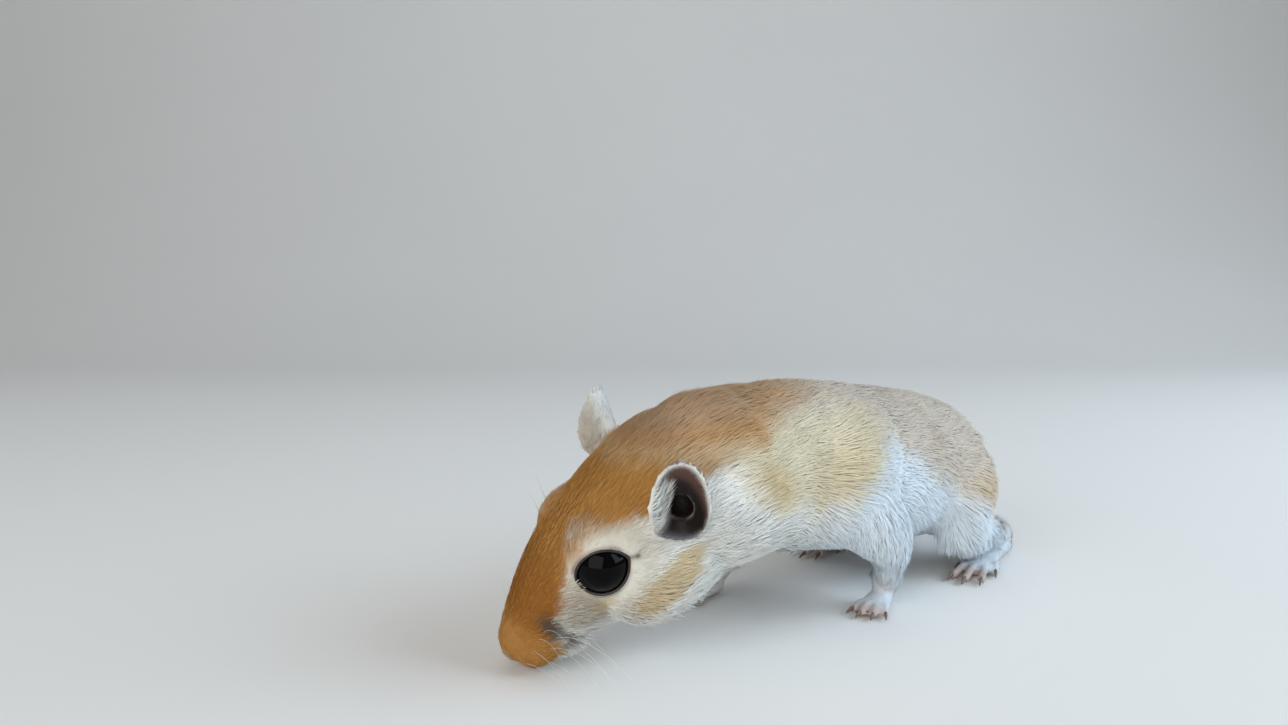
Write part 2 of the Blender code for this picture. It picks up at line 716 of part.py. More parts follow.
def brush(tail):
    """The tail's last length with its locks of longer hair, the tip's own last."""
    rows = smooth_rows(TAIL, 3)
    start = TAIL_CUTS[-1][0]
    near = min(range(len(rows)), key=lambda k: (vec(*rows[k][:3]) - vec(*start)).length)
    rows = rows[near:]
    chance = random.Random(5)
    locks = []
    for ring, (root, length) in enumerate(BRUSH_RINGS):
        for k in range(LOCKS_IN_RING):
            turn = (k + 0.5 * (ring % 2) + chance.uniform(-0.15, 0.15)) / LOCKS_IN_RING
            angle = math.radians(-15 + 210 * turn)
            ahead = tail_at(rows, root)[1]
            side = ahead.cross(Vector((0, 0, 1))).normalized()
            out = side * math.cos(angle) + Vector((0, 0, 1)) * math.sin(angle)
            reach = length * chance.uniform(0.9, 1.1)
            locks.append(lock(rows, root + chance.uniform(-0.6, 0.6), out, reach))
    return boolean(tail, locks, "UNION")


def bounds(mesh):
    """Lowest and highest corner of a mesh."""
    points = [vertex.co for vertex in mesh.vertices]
    low = Vector([min(point[i] for point in points) for i in range(3)])
    return low, Vector([max(point[i] for point in points) for i in range(3)])


def finish(name, colour, roughness):
    material = bpy.data.materials.new(name)
    material.use_nodes = True
    shader = material.node_tree.nodes["Principled BSDF"]
    shader.inputs["Base Color"].default_value = (*colour, 1.0)
    shader.inputs["Roughness"].default_value = roughness
    shader.inputs["Metallic"].default_value = 0.0
    return material


def placed(nodes):
    """Each mesh as an object at its own middle, under an empty below the middle of the whole animal."""
    spans = {name: bounds(mesh) for name, mesh in nodes.items()}
    low = Vector([min(span[0][i] for span in spans.values()) for i in range(3)])
    high = Vector([max(span[1][i] for span in spans.values()) for i in range(3)])
    foot = Vector(((low.x + high.x) / 2, (low.y + high.y) / 2, 0.0))
    ground = bpy.data.objects.new("gerbil", None)
    bpy.context.collection.objects.link(ground)
    for name, mesh in nodes.items():
        colour, roughness = next(look for words, look in LOOKS if name.startswith(words))
        middle = (spans[name][0] + spans[name][1]) / 2
        mesh.transform(Matrix.Translation(-middle))
        mesh.name = name
        mesh.materials.clear()
        mesh.materials.append(finish(name, colour, roughness))
        mesh.shade_smooth()
        mesh.set_sharp_from_angle(angle=math.radians(50))
        piece = new_object(name, mesh)
        piece.location = middle - foot
        piece.parent = ground


def main():
    clear_scene()
    nodes = {}
    body = flesh()
    for name, rows in LIMBS.items():
        region = fused([limb(rows, REGION_MARGIN)], 1.0 * MM, 2, 320)
        nodes[name], body = parted(body, region, grown(region))
    head_at = head_matrix()
    behind = head_at @ Matrix.Translation(vec(0, HEAD_BACK, 0))
    nodes["head"], body = parted(body, *both(lambda grow: drum(HEAD_CUT, 60 * MM, behind, grow)))
    neck_at = frame_at(vec(*NECK_BASE), Vector(NECK_AHEAD))
    nodes["neck"], body = parted(body, *both(lambda grow: drum(NECK_CUT, 60 * MM, neck_at, grow)))
    root, *cuts = [frame_at(vec(*centre), Vector(ahead)) for centre, ahead in TAIL_CUTS]
    nodes["torso"] = largest_body(boolean(body, drum(40 * MM, 120 * MM, root), "INTERSECT"))
    tail = loft(TAIL, steps=3, sides=12)
    tail = boolean(tail, drum(TAIL_CUT, 60 * MM, root, GAP), "DIFFERENCE")
    for name, cut in zip(("tail_base", "tail_middle"), cuts):
        piece, tail = parted(tail, *both(lambda grow: drum(30 * MM, 80 * MM, cut, grow)))
        nodes[name] = on_floor(piece)
    nodes["tail_tip"] = on_floor(brush(tail))
    nodes["head"] = face_of(nodes["head"])
    for side, word in ((1, "left"), (-1, "right")):
        nodes[f"ear_{word}"] = ear(side)
        x, y, z = eye_place()
        ball = [EYE_RADIUS / MM] * 3
        nodes[f"eye_{word}"] = ellipsoid((side * x, y, z), ball, head_at, segments=18, rings=11)
    for name, spec in PAWS.items():
        cuts = both(lambda grow: box((-80, -80, -5), (80, 120, spec["cut"]), grow))
        stub, nodes[spec["limb"]] = parted(nodes[spec["limb"]], *cuts)
        nodes[name] = paw(spec, stub)
    placed(nodes)


main()
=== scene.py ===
"""The looks of a life-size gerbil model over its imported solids: skin, coat, eyes, claws and whiskers."""

import math

import bmesh
import bpy
import numpy as np
from mathutils import Matrix, Vector
from mathutils.bvhtree import BVHTree


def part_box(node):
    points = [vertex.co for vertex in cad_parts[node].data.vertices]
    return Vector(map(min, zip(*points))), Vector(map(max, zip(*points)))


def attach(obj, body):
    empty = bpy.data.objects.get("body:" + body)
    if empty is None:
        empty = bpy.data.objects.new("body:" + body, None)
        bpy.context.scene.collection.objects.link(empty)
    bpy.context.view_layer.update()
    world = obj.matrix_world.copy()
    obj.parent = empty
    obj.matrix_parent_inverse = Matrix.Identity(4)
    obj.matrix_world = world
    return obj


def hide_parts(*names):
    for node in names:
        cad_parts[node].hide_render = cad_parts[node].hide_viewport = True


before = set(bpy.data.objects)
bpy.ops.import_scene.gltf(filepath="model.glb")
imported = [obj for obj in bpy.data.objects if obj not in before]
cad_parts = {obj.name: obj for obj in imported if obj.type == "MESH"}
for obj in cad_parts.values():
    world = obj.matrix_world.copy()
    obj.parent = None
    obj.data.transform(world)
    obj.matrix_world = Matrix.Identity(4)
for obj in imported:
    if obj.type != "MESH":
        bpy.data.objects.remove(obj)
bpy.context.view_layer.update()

MM = 0.001
SEED = 11

# The head's own frame: -Y to the nose, +X to its left and +Z to the crown, between the eyes.
HEAD_TURN = math.radians(-35)
HEAD_DROP = math.radians(38)
HEAD_ROLL = math.radians(15)
HEAD_IN_TRUNK = (-15.3, -52.2, 20.2)
EYE_RADIUS = 4.5
EYE_SPREAD = 7.4
EYE_RISE = 0.4
EYE_SLANT = math.radians(-12)
EYE_HALF_LENGTH = 4.3  # of the opening between the lids
EYE_HALF_HEIGHT = 3.6
EYE_CORNER = ((9.9, 3.4, 0.2), (10.6, 4.3, 0.0), (11.4, 5.1, -0.3))  # where the lids meet behind the eye

# Ears: root, axis and the way the cup opens, for the left and the right, and the cup's size.
EAR_ROOT = {1: (10.8, 12.3, -1.0), -1: (-10.4, 14.7, 1.2)}
EAR_AXIS = {1: (0.34, 0.42, 0.84), -1: (-0.44, 0.22, 0.87)}
EAR_MOUTH = {1: (0.88, -0.47, 0.0), -1: (-0.74, -0.67, 0.0)}
EAR_HALF_WIDTH = 4.6
EAR_HALF_HEIGHT = 6.3

# Every node of flesh: how deep its coat is, the length of its hair and how many tufts grow on a square
# millimetre, with lengths in millimetres.
FLESH = {
    "head": (0.5, 2.3, 9.0),
    "neck": (1.0, 5.0, 9.0),
    "torso": (1.25, 6.5, 8.5),
    "leg_front_left": (0.7, 3.6, 9.0),
    "leg_front_right": (0.7, 3.6, 9.0),
    "leg_hind_left": (0.9, 5.0, 9.0),
    "leg_hind_right": (0.9, 5.0, 9.0),
    "tail_base": (0.6, 3.4, 9.0),
    "tail_middle": (0.6, 3.2, 9.0),
    "tail_tip": (1.0, 7.5, 14.0),
    "ear_left": (0.15, 1.1, 9.0),
    "ear_right": (0.15, 1.3, 9.0),
    "paw_front_left": (0.05, 1.0, 7.0),
    "paw_front_right": (0.05, 1.0, 7.0),
    "foot_hind_left": (0.05, 1.2, 7.0),
    "foot_hind_right": (0.05, 1.2, 7.0),
}
VOXEL = 0.46
HANGING_TUFTS = 2800  # under the chin and the throat
LONG_TUFTS = 19000  # in one piece
SHORT_TUFTS = 46000
SHORT_HAIR = 1.35
UV_PATCH = 0.003
MEETING_SHOULDERS = ("neck", "torso", "leg_front_left", "leg_front_right")
OWNER_REACH = 3 * MM

# Tail's course in the trunk's frame, which the hair on it follows.
TAIL_COURSE = (
    (-1, 60, 12), (-4, 72, 6), (-8, 82, 3.5), (-15, 93, 3), (-25, 105, 3), (-47, 129, 3), (-62, 146, 2.5),
)

# Soles as rows of a loft, and each toe's root, its spread in degrees and its length.
SOLE_FRONT = (
    (0.0, 1.2, 2.2, 1.8, 1.6, 2.1),
    (0.0, -1.6, 1.9, 2.4, 1.8, 1.9),
    (0.0, -4.4, 1.5, 2.7, 1.5, 1.5),
    (0.0, -6.0, 1.3, 2.0, 1.0, 1.2),
)
TOES_FRONT = (
    ((-1.9, -4.6, 1.3), -22, 3.5),
    ((-0.7, -5.2, 1.4), -7, 4.2),
    ((0.7, -5.2, 1.4), 7, 4.1),
    ((1.9, -4.6, 1.3), 22, 3.3),
)
SOLE_HIND = (
    (0.0, 2.2, 2.2, 2.0, 1.8, 2.2),
    (0.0, -1.0, 2.2, 2.7, 2.0, 2.2),
    (0.0, -8.0, 2.0, 2.6, 1.8, 2.0),
    (0.0, -15.0, 1.8, 3.1, 1.6, 1.8),
    (0.0, -19.5, 1.5, 3.0, 1.3, 1.5),
    (0.0, -21.5, 1.3, 2.0, 0.9, 1.2),
)
TOES_HIND = (
    ((-2.6, -13.5, 1.3), -14, 5.2),
    ((-1.9, -19.4, 1.5), -9, 7.0),
    ((0.0, -20.0, 1.6), 0, 7.6),
    ((1.9, -19.4, 1.5), 9, 7.0),
    ((2.7, -14.5, 1.3), 16, 4.8),
)
# Feet in the trunk's frame: place, heading in degrees, side, wrist or ankle rows, sole rows, toes, the toes'
# radius and the claws' length.
FEET = {
    "paw_front_left": (
        (9.9, 5.4), 6, 1,
        ((11.4, 4.0, 8.0, 3.4, 3.2), (10.4, 4.9, 4.6, 2.6, 2.5), (10.0, 5.2, 2.6, 1.8, 1.8)),
        SOLE_FRONT, TOES_FRONT, 0.85, 1.9,
    ),
    "paw_front_right": (
        (-19.5, -9.2), -8, -1,
        ((-18.4, -6.0, 8.0, 3.4, 3.2), (-19.3, -8.4, 4.6, 2.6, 2.5), (-19.5, -9.4, 2.6, 1.8, 1.8)),
        SOLE_FRONT, TOES_FRONT, 0.85, 1.9,
    ),
    "foot_hind_left": (
        (15.6, 55.4), 4, 1,
        ((15.5, 47.5, 7.0, 3.6, 3.5), (15.6, 54.5, 4.8, 2.9, 2.8), (15.6, 56.0, 3.0, 2.2, 2.2)),
        SOLE_HIND, TOES_HIND, 0.95, 2.5,
    ),
    "foot_hind_right": (
        (-15.6, 51.4), -4, -1,
        ((-15.5, 43.5, 7.0, 3.6, 3.5), (-15.6, 50.5, 4.8, 2.9, 2.8), (-15.6, 52.0, 3.0, 2.2, 2.2)),
        SOLE_HIND, TOES_HIND, 0.95, 2.5,
    ),
}

# Mouth line from the middle to the corner and the lips' parting, in the head's frame.
MOUTH_LINE = (
    (0.0, -19.4, -9.6), (1.6, -18.4, -10.4), (3.2, -15.6, -10.8), (4.4, -12.2, -10.4), (5.2, -9.2, -9.4),
)
LIP_PARTING = ((0.0, -22.0, -6.8), (0.0, -21.0, -8.4), (0.0, -19.6, -9.6))
NOSTRIL = (1.35, -21.6, -5.3)
NOSE_TIP = (0.0, -20.5, -7.0)

# Knuckles and claws: how far along, how high or how low, and how thick.
KNUCKLES = (
    (0.0, 0.0, 1.05), (0.25, 0.30, 1.08), (0.5, 0.22, 0.9), (0.72, -0.2, 0.95), (0.9, -0.5, 0.95), (1.0, -0.6, 0.7),
)
CLAW_ROWS = ((-0.25, 0.05, 0.42), (0.2, 0.0, 0.46), (0.5, 0.14, 0.36), (0.8, 0.4, 0.22), (1.0, 0.65, 0.07))

# Edge of the crown's orange in the head's frame: how far back, and how high there.
CROWN_EDGE = (
    (-24, -12), (-16, -9.5), (-12.5, -4.0), (-10.8, -2.0), (-7.9, 0.9), (-4.1, 4.0),
    (-1.0, 6.0), (2.0, 6.3), (5.0, 4.8), (9.0, 3.4), (20.0, 2.0), (30.0, -1.0),
)


def head_turn():
    turn = Matrix.Rotation(HEAD_TURN, 3, "Z")
    drop = Matrix.Rotation(HEAD_DROP, 3, "X")
    roll = Matrix.Rotation(HEAD_ROLL, 3, "Y")
    return np.array(turn @ drop @ roll)


def middle(node):
    low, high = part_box(node)
    return np.array((low + high) / 2)


HEAD_AXES = head_turn()
EYES = {1: middle("eye_left"), -1: middle("eye_right")}
HEAD_PLACE = (EYES[1] + EYES[-1]) / 2 - HEAD_AXES @ np.array([0, 0, EYE_RISE * MM])
TRUNK_PLACE = HEAD_PLACE - np.array(HEAD_IN_TRUNK) * MM


def from_head(points):
    """Places in the head's frame, in millimetres, as places in the room."""
    return np.asarray(points, float) * MM @ HEAD_AXES.T + HEAD_PLACE


def to_head(points):
    """Places in the room as places in the head's frame, in millimetres."""
    return (points - HEAD_PLACE) @ HEAD_AXES / MM


def from_trunk(points):
    return np.asarray(points, float) * MM + TRUNK_PLACE


def unit(vectors):
    return vectors / np.maximum(np.linalg.norm(vectors, axis=-1, keepdims=True), 1e-12)


def smoothstep(x, low, high):
    t = np.clip((x - low) / (high - low), 0, 1)
    return t * t * (3 - 2 * t)


def array_mesh(name, points, faces, smooth=True):
    """A mesh from an array of points and an array of faces with equal numbers of corners."""
    mesh = bpy.data.meshes.new(name)
    mesh.vertices.add(len(points))
    mesh.vertices.foreach_set("co", np.ascontiguousarray(points, np.float32).ravel())
    mesh.loops.add(faces.size)
    mesh.loops.foreach_set("vertex_index", np.ascontiguousarray(faces, np.int32).ravel())
    mesh.polygons.add(len(faces))
    mesh.polygons.foreach_set("loop_start", np.arange(0, faces.size, faces.shape[1], dtype=np.int32))
    mesh.update(calc_edges=True)
    if smooth:
        mesh.shade_smooth()
    return mesh


def add_object(name, mesh, material=None):
    obj = bpy.data.objects.new(name, mesh)
    bpy.context.scene.collection.objects.link(obj)
    if material:
        mesh.materials.clear()
        mesh.materials.append(material)
    return obj


def evaluated(obj):
    graph = bpy.context.evaluated_depsgraph_get()
    mesh = bpy.data.meshes.new_from_object(obj.evaluated_get(graph))
    bpy.data.objects.remove(obj)
    return mesh


def arrays_of(mesh):
    """Vertices and triangles of a mesh as arrays."""
    mesh.calc_loop_triangles()
    points = np.empty(len(mesh.vertices) * 3, np.float32)
    mesh.vertices.foreach_get("co", points)
    faces = np.empty(len(mesh.loop_triangles) * 3, np.int32)
    mesh.loop_triangles.foreach_get("vertices", faces)
    return points.reshape(-1, 3).astype(float), faces.reshape(-1, 3)


def tree_of(points, faces):
    return BVHTree.FromPolygons([Vector(p) for p in points], [tuple(f) for f in faces.tolist()])


def smooth_rows(rows, steps):
    """Rows of numbers joined by a Catmull-Rom curve."""
    table = np.array(rows, float)
    padded = np.vstack([2 * table[0] - table[1], table, 2 * table[-1] - table[-2]])
    made = []
    for k in range(len(table) - 1):
        a, b, c, d = padded[k : k + 4]
        for step in range(steps):
            t = step / steps
            bend = (2 * a - 5 * b + 4 * c - d) * t**2 + (3 * b - a - 3 * c + d) * t**3
            made.append(0.5 * (2 * b + (c - a) * t + bend))
    made.append(table[-1])
    return np.array(made)


def loft(rows, steps=4, sides=16, up=(0, 0, 1)):
    """Points and triangles of a closed form through rows of x, y, z, half width, rise and sometimes drop."""
    table = smooth_rows(rows, steps)
    centres = table[:, :3]
    ahead = np.gradient(centres, axis=0)
    side = unit(np.cross(np.array(up, float), ahead))
    over = unit(np.cross(ahead, side))
    angle = np.linspace(0, 2 * math.pi, sides, endpoint=False)
    rise = np.where(np.sin(angle) > 0, table[:, 4:5], table[:, -1:])
    ring = side[:, None] * (table[:, 3:4] * np.cos(angle))[..., None]
    ring = ring + over[:, None] * (rise * np.sin(angle))[..., None] + centres[:, None]
    first = centres[0] - unit(ahead[0]) * table[0, 3] * 0.6
    last = centres[-1] + unit(ahead[-1]) * table[-1, 3] * 0.6
    points = np.vstack([ring.reshape(-1, 3), first, last])
    faces = []
    count = len(table)
    for k in range(count - 1):
        for s in range(sides):
            t = (s + 1) % sides
            a, b, c, d = k * sides + s, k * sides + t, (k + 1) * sides + t, (k + 1) * sides + s
            faces += [(a, b, c), (a, c, d)]
    for s in range(sides):
        t = (s + 1) % sides
        faces.append((count * sides, t, s))
        faces.append((count * sides + 1, (count - 1) * sides + s, (count - 1) * sides + t))
    return points, np.array(faces)


def turned(points, place, heading):
    """Places round a foot, turned to its heading and moved to its place in the trunk's frame."""
    turn = np.array(Matrix.Rotation(math.radians(heading), 3, "Z"))
    return points @ turn.T + np.array([place[0], place[1], 0.0])


def toe_course(root, spread, length, radius, side):
    """Rows of a toe that arches from the foot to the floor, and where its claw starts."""
    x, y, z = root
    heading = math.radians(side * spread)
    ahead = np.array([math.sin(heading), -math.cos(heading), 0.0])
    start = np.array([side * x, y, z])
    rows = []
    for along, lift, thick in KNUCKLES:
        spot = start + ahead * length * along
        spot[2] = max(z + lift, radius * 0.8)
        rows.append((*spot, radius * thick, radius * thick))
    return rows, start + ahead * length * 0.95, ahead


def foot_form(name):
    place, heading, side, wrist, sole, toes, radius, _ = FEET[name]
    points, faces = loft(wrist, up=(1, 0, 0))
    parts = [(from_trunk(points), faces)]
    points, faces = loft(sole)
    parts.append((from_trunk(turned(points, place, heading)), faces))
    for root, spread, length in toes:
        rows = toe_course(root, spread, length, radius, side)[0]
        points, faces = loft(rows, steps=3, sides=12)
        parts.append((from_trunk(turned(points, place, heading)), faces))
    return joined(parts)


def joined(parts):
    points, faces, start = [], [], 0
    for p, f in parts:
        points.append(p)
        faces.append(f + start)
        start += len(p)
    return np.vstack(points), np.vstack(faces)


def claw_forms():
    """Curved tapered claws at the ends of the toes, all in one mesh."""
    parts = []
    for place, heading, side, _, _, toes, radius, claw in FEET.values():
        for root, spread, length in toes:
            rows, tip, ahead = toe_course(root, spread, length, radius, side)
            claw_rows = []
            for along, drop, thick in CLAW_ROWS:
                spot = tip + ahead * claw * along
                spot[2] = max(radius * 1.25 - claw * drop * 0.5, radius * thick + 0.05)
                claw_rows.append((*spot, radius * thick * 0.8, radius * thick * 1.2))
            points, faces = loft(claw_rows, steps=3, sides=10)
            parts.append((from_trunk(turned(points, place, heading)), faces))
    return joined(parts)


def eye_axes(side):
    """Out of the head, to the rear corner and up, as columns, at an eye."""
    out = unit(np.array([side * 0.93, -0.28, 0.22]))
    rear = unit(np.array([0.0, 1.0, 0.0]) - out * out[1])
    rear = np.array(Matrix.Rotation(side * EYE_SLANT, 3, Vector(out)) @ Vector(rear))
    up = np.cross(out, rear) * side
    return HEAD_AXES @ np.stack([out, rear, up], axis=1)


def ear_axes(side):
    """Across an ear to its rear, up it and out of its mouth, as columns, in the head's frame."""
    up = unit(np.array(EAR_AXIS[side]))
    mouth = np.array(EAR_MOUTH[side])
    out = unit(mouth - up * (mouth @ up))
    return np.stack([np.cross(up, out) * side, up, out], axis=1)


def opening(side, points):
    """How far inside the lids' opening places are, 1 at its middle and 0 at its edge, and where they are."""
    local = (points - EYES[side]) @ eye_axes(side) / MM
    distance = np.linalg.norm(local, axis=1)
    spread = local / np.maximum(distance, 1e-6)[:, None] * EYE_RADIUS
    along = spread[:, 1] / EYE_HALF_LENGTH
    across = spread[:, 2] / EYE_HALF_HEIGHT
    inside = 1 - np.sqrt(along**2 + np.abs(across) ** (5 / 3))
    inside[local[:, 0] < 0] = -1
    return inside, distance, local


def chin_share(local):
    """How far places in the head's frame belong to the hanging hair of the lips and chin."""
    reach = (np.abs(local[:, 0]) - 2.6, local[:, 1] + 13.0, local[:, 2] + 10.6)
    return np.exp(-(reach[0] ** 2 + reach[1] ** 2 + reach[2] ** 2) / 5.0)


def line_distance(points, line):
    """Distance of places from a line of points."""
    best = np.full(len(points), 1e9)
    for a, b in zip(line, line[1:]):
        a, b = np.array(a), np.array(b)
        t = np.clip((points - a) @ (b - a) / ((b - a) @ (b - a)), 0, 1)
        best = np.minimum(best, np.linalg.norm(points - a - t[:, None] * (b - a), axis=1))
    return best


class Surface:
    """The skin's mesh as arrays, with what grows where."""

    def __init__(self):
        self.sources = {}
        for name in FLESH:
            self.sources[name] = foot_form(name) if name in FEET else arrays_of(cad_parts[name].data)
        self.trees = {name: tree_of(*form) for name, form in self.sources.items()}
        self.names = list(FLESH)

    def bridged(self, name):
        """A node's form with what lies near its neighbours drawn into them."""
        points, faces = self.sources[name]
        if name in FEET:
            return points, faces
        points = points.copy()
        others = [tree for other, tree in self.trees.items() if other != name]
        for i, p in enumerate(points):
            spot = Vector(p)
            for tree in others:
                near, _, _, gap = tree.find_nearest(spot, 0.5 * MM)
                if near and gap > 1e-6:
                    points[i] = spot + (near - spot) * ((gap + 0.2 * MM) / gap)
                    break
        return points, faces

    def fuse(self):
        points, faces = joined([self.bridged(name) for name in self.names])
        balls = bmesh.new()
        bmesh.ops.create_icosphere(balls, subdivisions=4, radius=(EYE_RADIUS + 0.3) * MM)
        ball = bpy.data.meshes.new("ball")
        balls.to_mesh(ball)
        balls.free()
        b, f = arrays_of(ball)
        points, faces = joined([(points, faces), (b + EYES[1], f), (b + EYES[-1], f)])
        obj = add_object("fusing", array_mesh("fusing", points, faces, False))
        remesh = obj.modifiers.new("skin", "REMESH")
        remesh.mode = "VOXEL"
        remesh.voxel_size = VOXEL * MM
        mesh = evaluated(obj)
        mesh = largest_surface(mesh)
        self.refine(mesh)
        self.read(mesh)

    def refine(self, mesh):
        """Smaller faces round the eyes, nose and mouth."""
        for reach_eye, reach_nose in ((6.6, 6.0), (0.0, 4.2)):
            bm = bmesh.new()
            bm.from_mesh(mesh)
            points = np.array([v.co for v in bm.verts])
            local = to_head(points)
            near = np.linalg.norm(local - np.array(NOSE_TIP), axis=1) < reach_nose
            for side in (1, -1):
                inside, distance, spot = opening(side, points)
                near |= (distance < reach_eye) & (spot[:, 0] > 0.5)
            edges = [e for e in bm.edges if near[e.verts[0].index] and near[e.verts[1].index]]
            bmesh.ops.subdivide_edges(bm, edges=edges, cuts=1, use_grid_fill=True, smooth=0.0)
            bmesh.ops.triangulate(bm, faces=[face for face in bm.faces if len(face.verts) > 4])
            bm.to_mesh(mesh)
            bm.free()

    def read(self, mesh):
        self.mesh = mesh
        count = len(mesh.vertices)
        points = np.empty(count * 3, np.float32)
        mesh.vertices.foreach_get("co", points)
        self.points = points.reshape(-1, 3).astype(float)
        edges = np.empty(len(mesh.edges) * 2, np.int32)
        mesh.edges.foreach_get("vertices", edges)
        self.edges = edges.reshape(-1, 2)
        self.degree = np.bincount(self.edges.ravel(), minlength=count)[:, None]

    def spread(self, values, rounds, share=0.5):
        """Values on the vertices, each drawn towards its neighbours' mean."""
        values = np.asarray(values, float)
        flat = values.ndim == 1
        values = values[:, None] if flat else values
        a, b = self.edges.T
        share = np.asarray(share)
        share = share[:, None] if share.ndim else share
        for _ in range(rounds):
            total = np.empty_like(values)
            for c in range(values.shape[1]):
                first = np.bincount(a, values[b, c], len(values))
                total[:, c] = first + np.bincount(b, values[a, c], len(values))
            values = values + (total / self.degree - values) * share
        return values[:, 0] if flat else values

    def normals(self):
        self.mesh.vertices.foreach_set("co", self.points.astype(np.float32).ravel())
        self.mesh.update()
        normals = np.empty(len(self.points) * 3, np.float32)
        self.mesh.vertex_normals.foreach_get("vector", normals)
        return unit(normals.reshape(-1, 3).astype(float))

    def shape(self):
        """Evens the skin, sinks it under the coat and works the face into it."""
        owner = np.zeros(len(self.points), int)
        best = np.full(len(self.points), 1e9)
        for k, name in enumerate(self.names):
            form = self.sources[name][0]
            low, high = form.min(0) - OWNER_REACH, form.max(0) + OWNER_REACH
            close = np.nonzero(((self.points > low) & (self.points < high)).all(1))[0]
            tree = self.trees[name]
            for i in close.tolist():
                near = tree.find_nearest(Vector(self.points[i]), OWNER_REACH)
                if near[0] and near[3] < best[i]:
                    best[i], owner[i] = near[3], k
        self.owner = owner
        is_thin = np.array([name.startswith(("ear", "paw", "foot")) for name in self.names])[owner]
        local = to_head(self.points)
        eyed = np.zeros(len(self.points))
        for side in (1, -1):
            distance = opening(side, self.points)[1]
            eyed = np.maximum(eyed, 1 - smoothstep(distance, 5.6, 8.0))
        self.points = self.spread(self.points, 5, 0.5 - 0.3 * is_thin)
        meets = np.array([name in MEETING_SHOULDERS for name in self.names])[owner].astype(float)
        self.points = self.spread(self.points, 40, 0.5 * self.spread(meets, 6) * (1 - eyed))
        depth = np.array([FLESH[name][0] for name in self.names])[owner]
        depth = self.spread(depth, 40)
        face = 1 - smoothstep(local[:, 1], -19.0, 4.0)
        on_head = owner == self.names.index("head")
        depth = np.where(on_head, depth * (1 - 0.6 * face), depth)
        depth = self.spread(depth * (1 - 0.75 * eyed), 6)
        self.points -= self.normals() * depth[:, None] * MM
        self.points[:, 2] = np.maximum(self.points[:, 2], 0.0)
        self.depth = depth
        self.work_face()

    def work_face(self):
        normals = self.normals()
        local = to_head(self.points)
        mirror = local.copy()
        mirror[:, 0] = np.abs(mirror[:, 0])
        head = self.owner == self.names.index("head")
        groove = np.zeros(len(self.points))
        mouth = line_distance(mirror, MOUTH_LINE)
        groove += 0.45 * np.exp(-((mouth / 0.38) ** 2))
        lips = line_distance(mirror, LIP_PARTING)
        groove += 0.35 * np.exp(-((lips / 0.34) ** 2))
        nostril = (mirror - np.array(NOSTRIL)) / np.array([0.62, 0.9, 0.5])
        groove += 0.75 * np.exp(-(np.linalg.norm(nostril, axis=1) ** 2))
        self.points -= normals * (groove * head)[:, None] * MM
        # The nostril and seam masks carry painted shade: the nostrils and the mouth line are painted dark.
        self.hole = np.exp(-(np.linalg.norm(nostril * 0.85, axis=1) ** 4)) * head
        self.seam = np.maximum(np.exp(-((mouth / 0.5) ** 2)), np.exp(-((lips / 0.45) ** 2))) * head
        self.socket = np.zeros(len(self.points))
        for side in (1, -1):
            inside, distance, spot = opening(side, self.points)
            lidded = (distance < 6.0) & (spot[:, 0] > 0)
            outward = (self.points - EYES[side]) / np.maximum(distance, 1e-6)[:, None]
            sunk = lidded & (inside > 0.03)
            self.points[sunk] = EYES[side] + outward[sunk] * (EYE_RADIUS - 0.35)
            near = lidded & ~sunk & (distance < EYE_RADIUS + 0.28)
            self.points[near] = EYES[side] + outward[near] * (EYE_RADIUS + 0.28)
            rim = smoothstep(inside, -0.06, -0.01) * (1 - smoothstep(distance, 4.95, 5.5))
            self.socket = np.where(lidded, np.maximum(self.socket, rim), self.socket)

    def flows(self):
        """The lie of the hair on every vertex."""
        course = from_trunk(smooth_rows(TAIL_COURSE, 4))
        along = unit(np.gradient(course, axis=0))
        local = to_head(self.points)
        trunk = (self.points - TRUNK_PLACE) / MM
        flow = np.zeros_like(self.points)
        back = HEAD_AXES @ np.array([0.0, 1.0, 0.0])
        for k, name in enumerate(self.names):
            mine = self.owner == k
            spots, here = trunk[mine], local[mine]
            if name == "head":
                fall = -0.35 * smoothstep(-here[:, 2], -2, 8)
                lean = np.stack([0.10 * np.sign(here[:, 0]), np.ones(len(here)), fall], axis=1)
                for side in (1, -1):
                    centre = np.array([side * EYE_SPREAD, 0.0, EYE_RISE])
                    away = here - centre
                    reach = np.linalg.norm(away, axis=1, keepdims=True)
                    lean += 1.1 * away / reach * np.exp(-(np.maximum(reach - 5.0, 0) / 2.2))
                lean += 2.2 * chin_share(here)[:, None] * HEAD_AXES[2] * -1
                flow[mine] = lean @ HEAD_AXES.T
            elif name == "neck":
                down = -0.35 * smoothstep(-spots[:, 2], -34, -22)
                spread = 0.15 * np.sign(spots[:, 0] + 4)
                flow[mine] = back * 0.7 + np.stack([spread, np.full(len(spots), 0.6), down], axis=1)
            elif name == "torso":
                fall = -0.42 * smoothstep(-spots[:, 2], -38, -18)
                flow[mine] = np.stack([0.10 * np.sign(spots[:, 0]), np.ones(len(spots)), fall], axis=1)
            elif name.startswith("leg_front"):
                flow[mine] = np.array([0.0, 0.45, -1.0])
            elif name.startswith("leg_hind"):
                lower = smoothstep(-spots[:, 2], -12, -6)
                flow[mine] = np.stack([lower * 0, 0.8 - 0.2 * lower, -0.75 - 0.1 * lower], axis=1)
            elif name in FEET:
                heading = math.radians(FEET[name][1])
                flow[mine] = np.array([math.sin(heading), -math.cos(heading), -0.15])
            elif name.startswith("tail"):
                near = ((self.points[mine][:, None] - course[None]) ** 2).sum(2).argmin(1)
                flow[mine] = along[near]
            else:
                side = 1 if name.endswith("left") else -1
                axes = ear_axes(side)
                inward = smoothstep(-((here - np.array(EAR_ROOT[side])) @ axes)[:, 0], 0.0, 2.5)[:, None]
                flow[mine] = (axes[:, 1] + 1.2 * inward * axes[:, 0]) @ HEAD_AXES.T
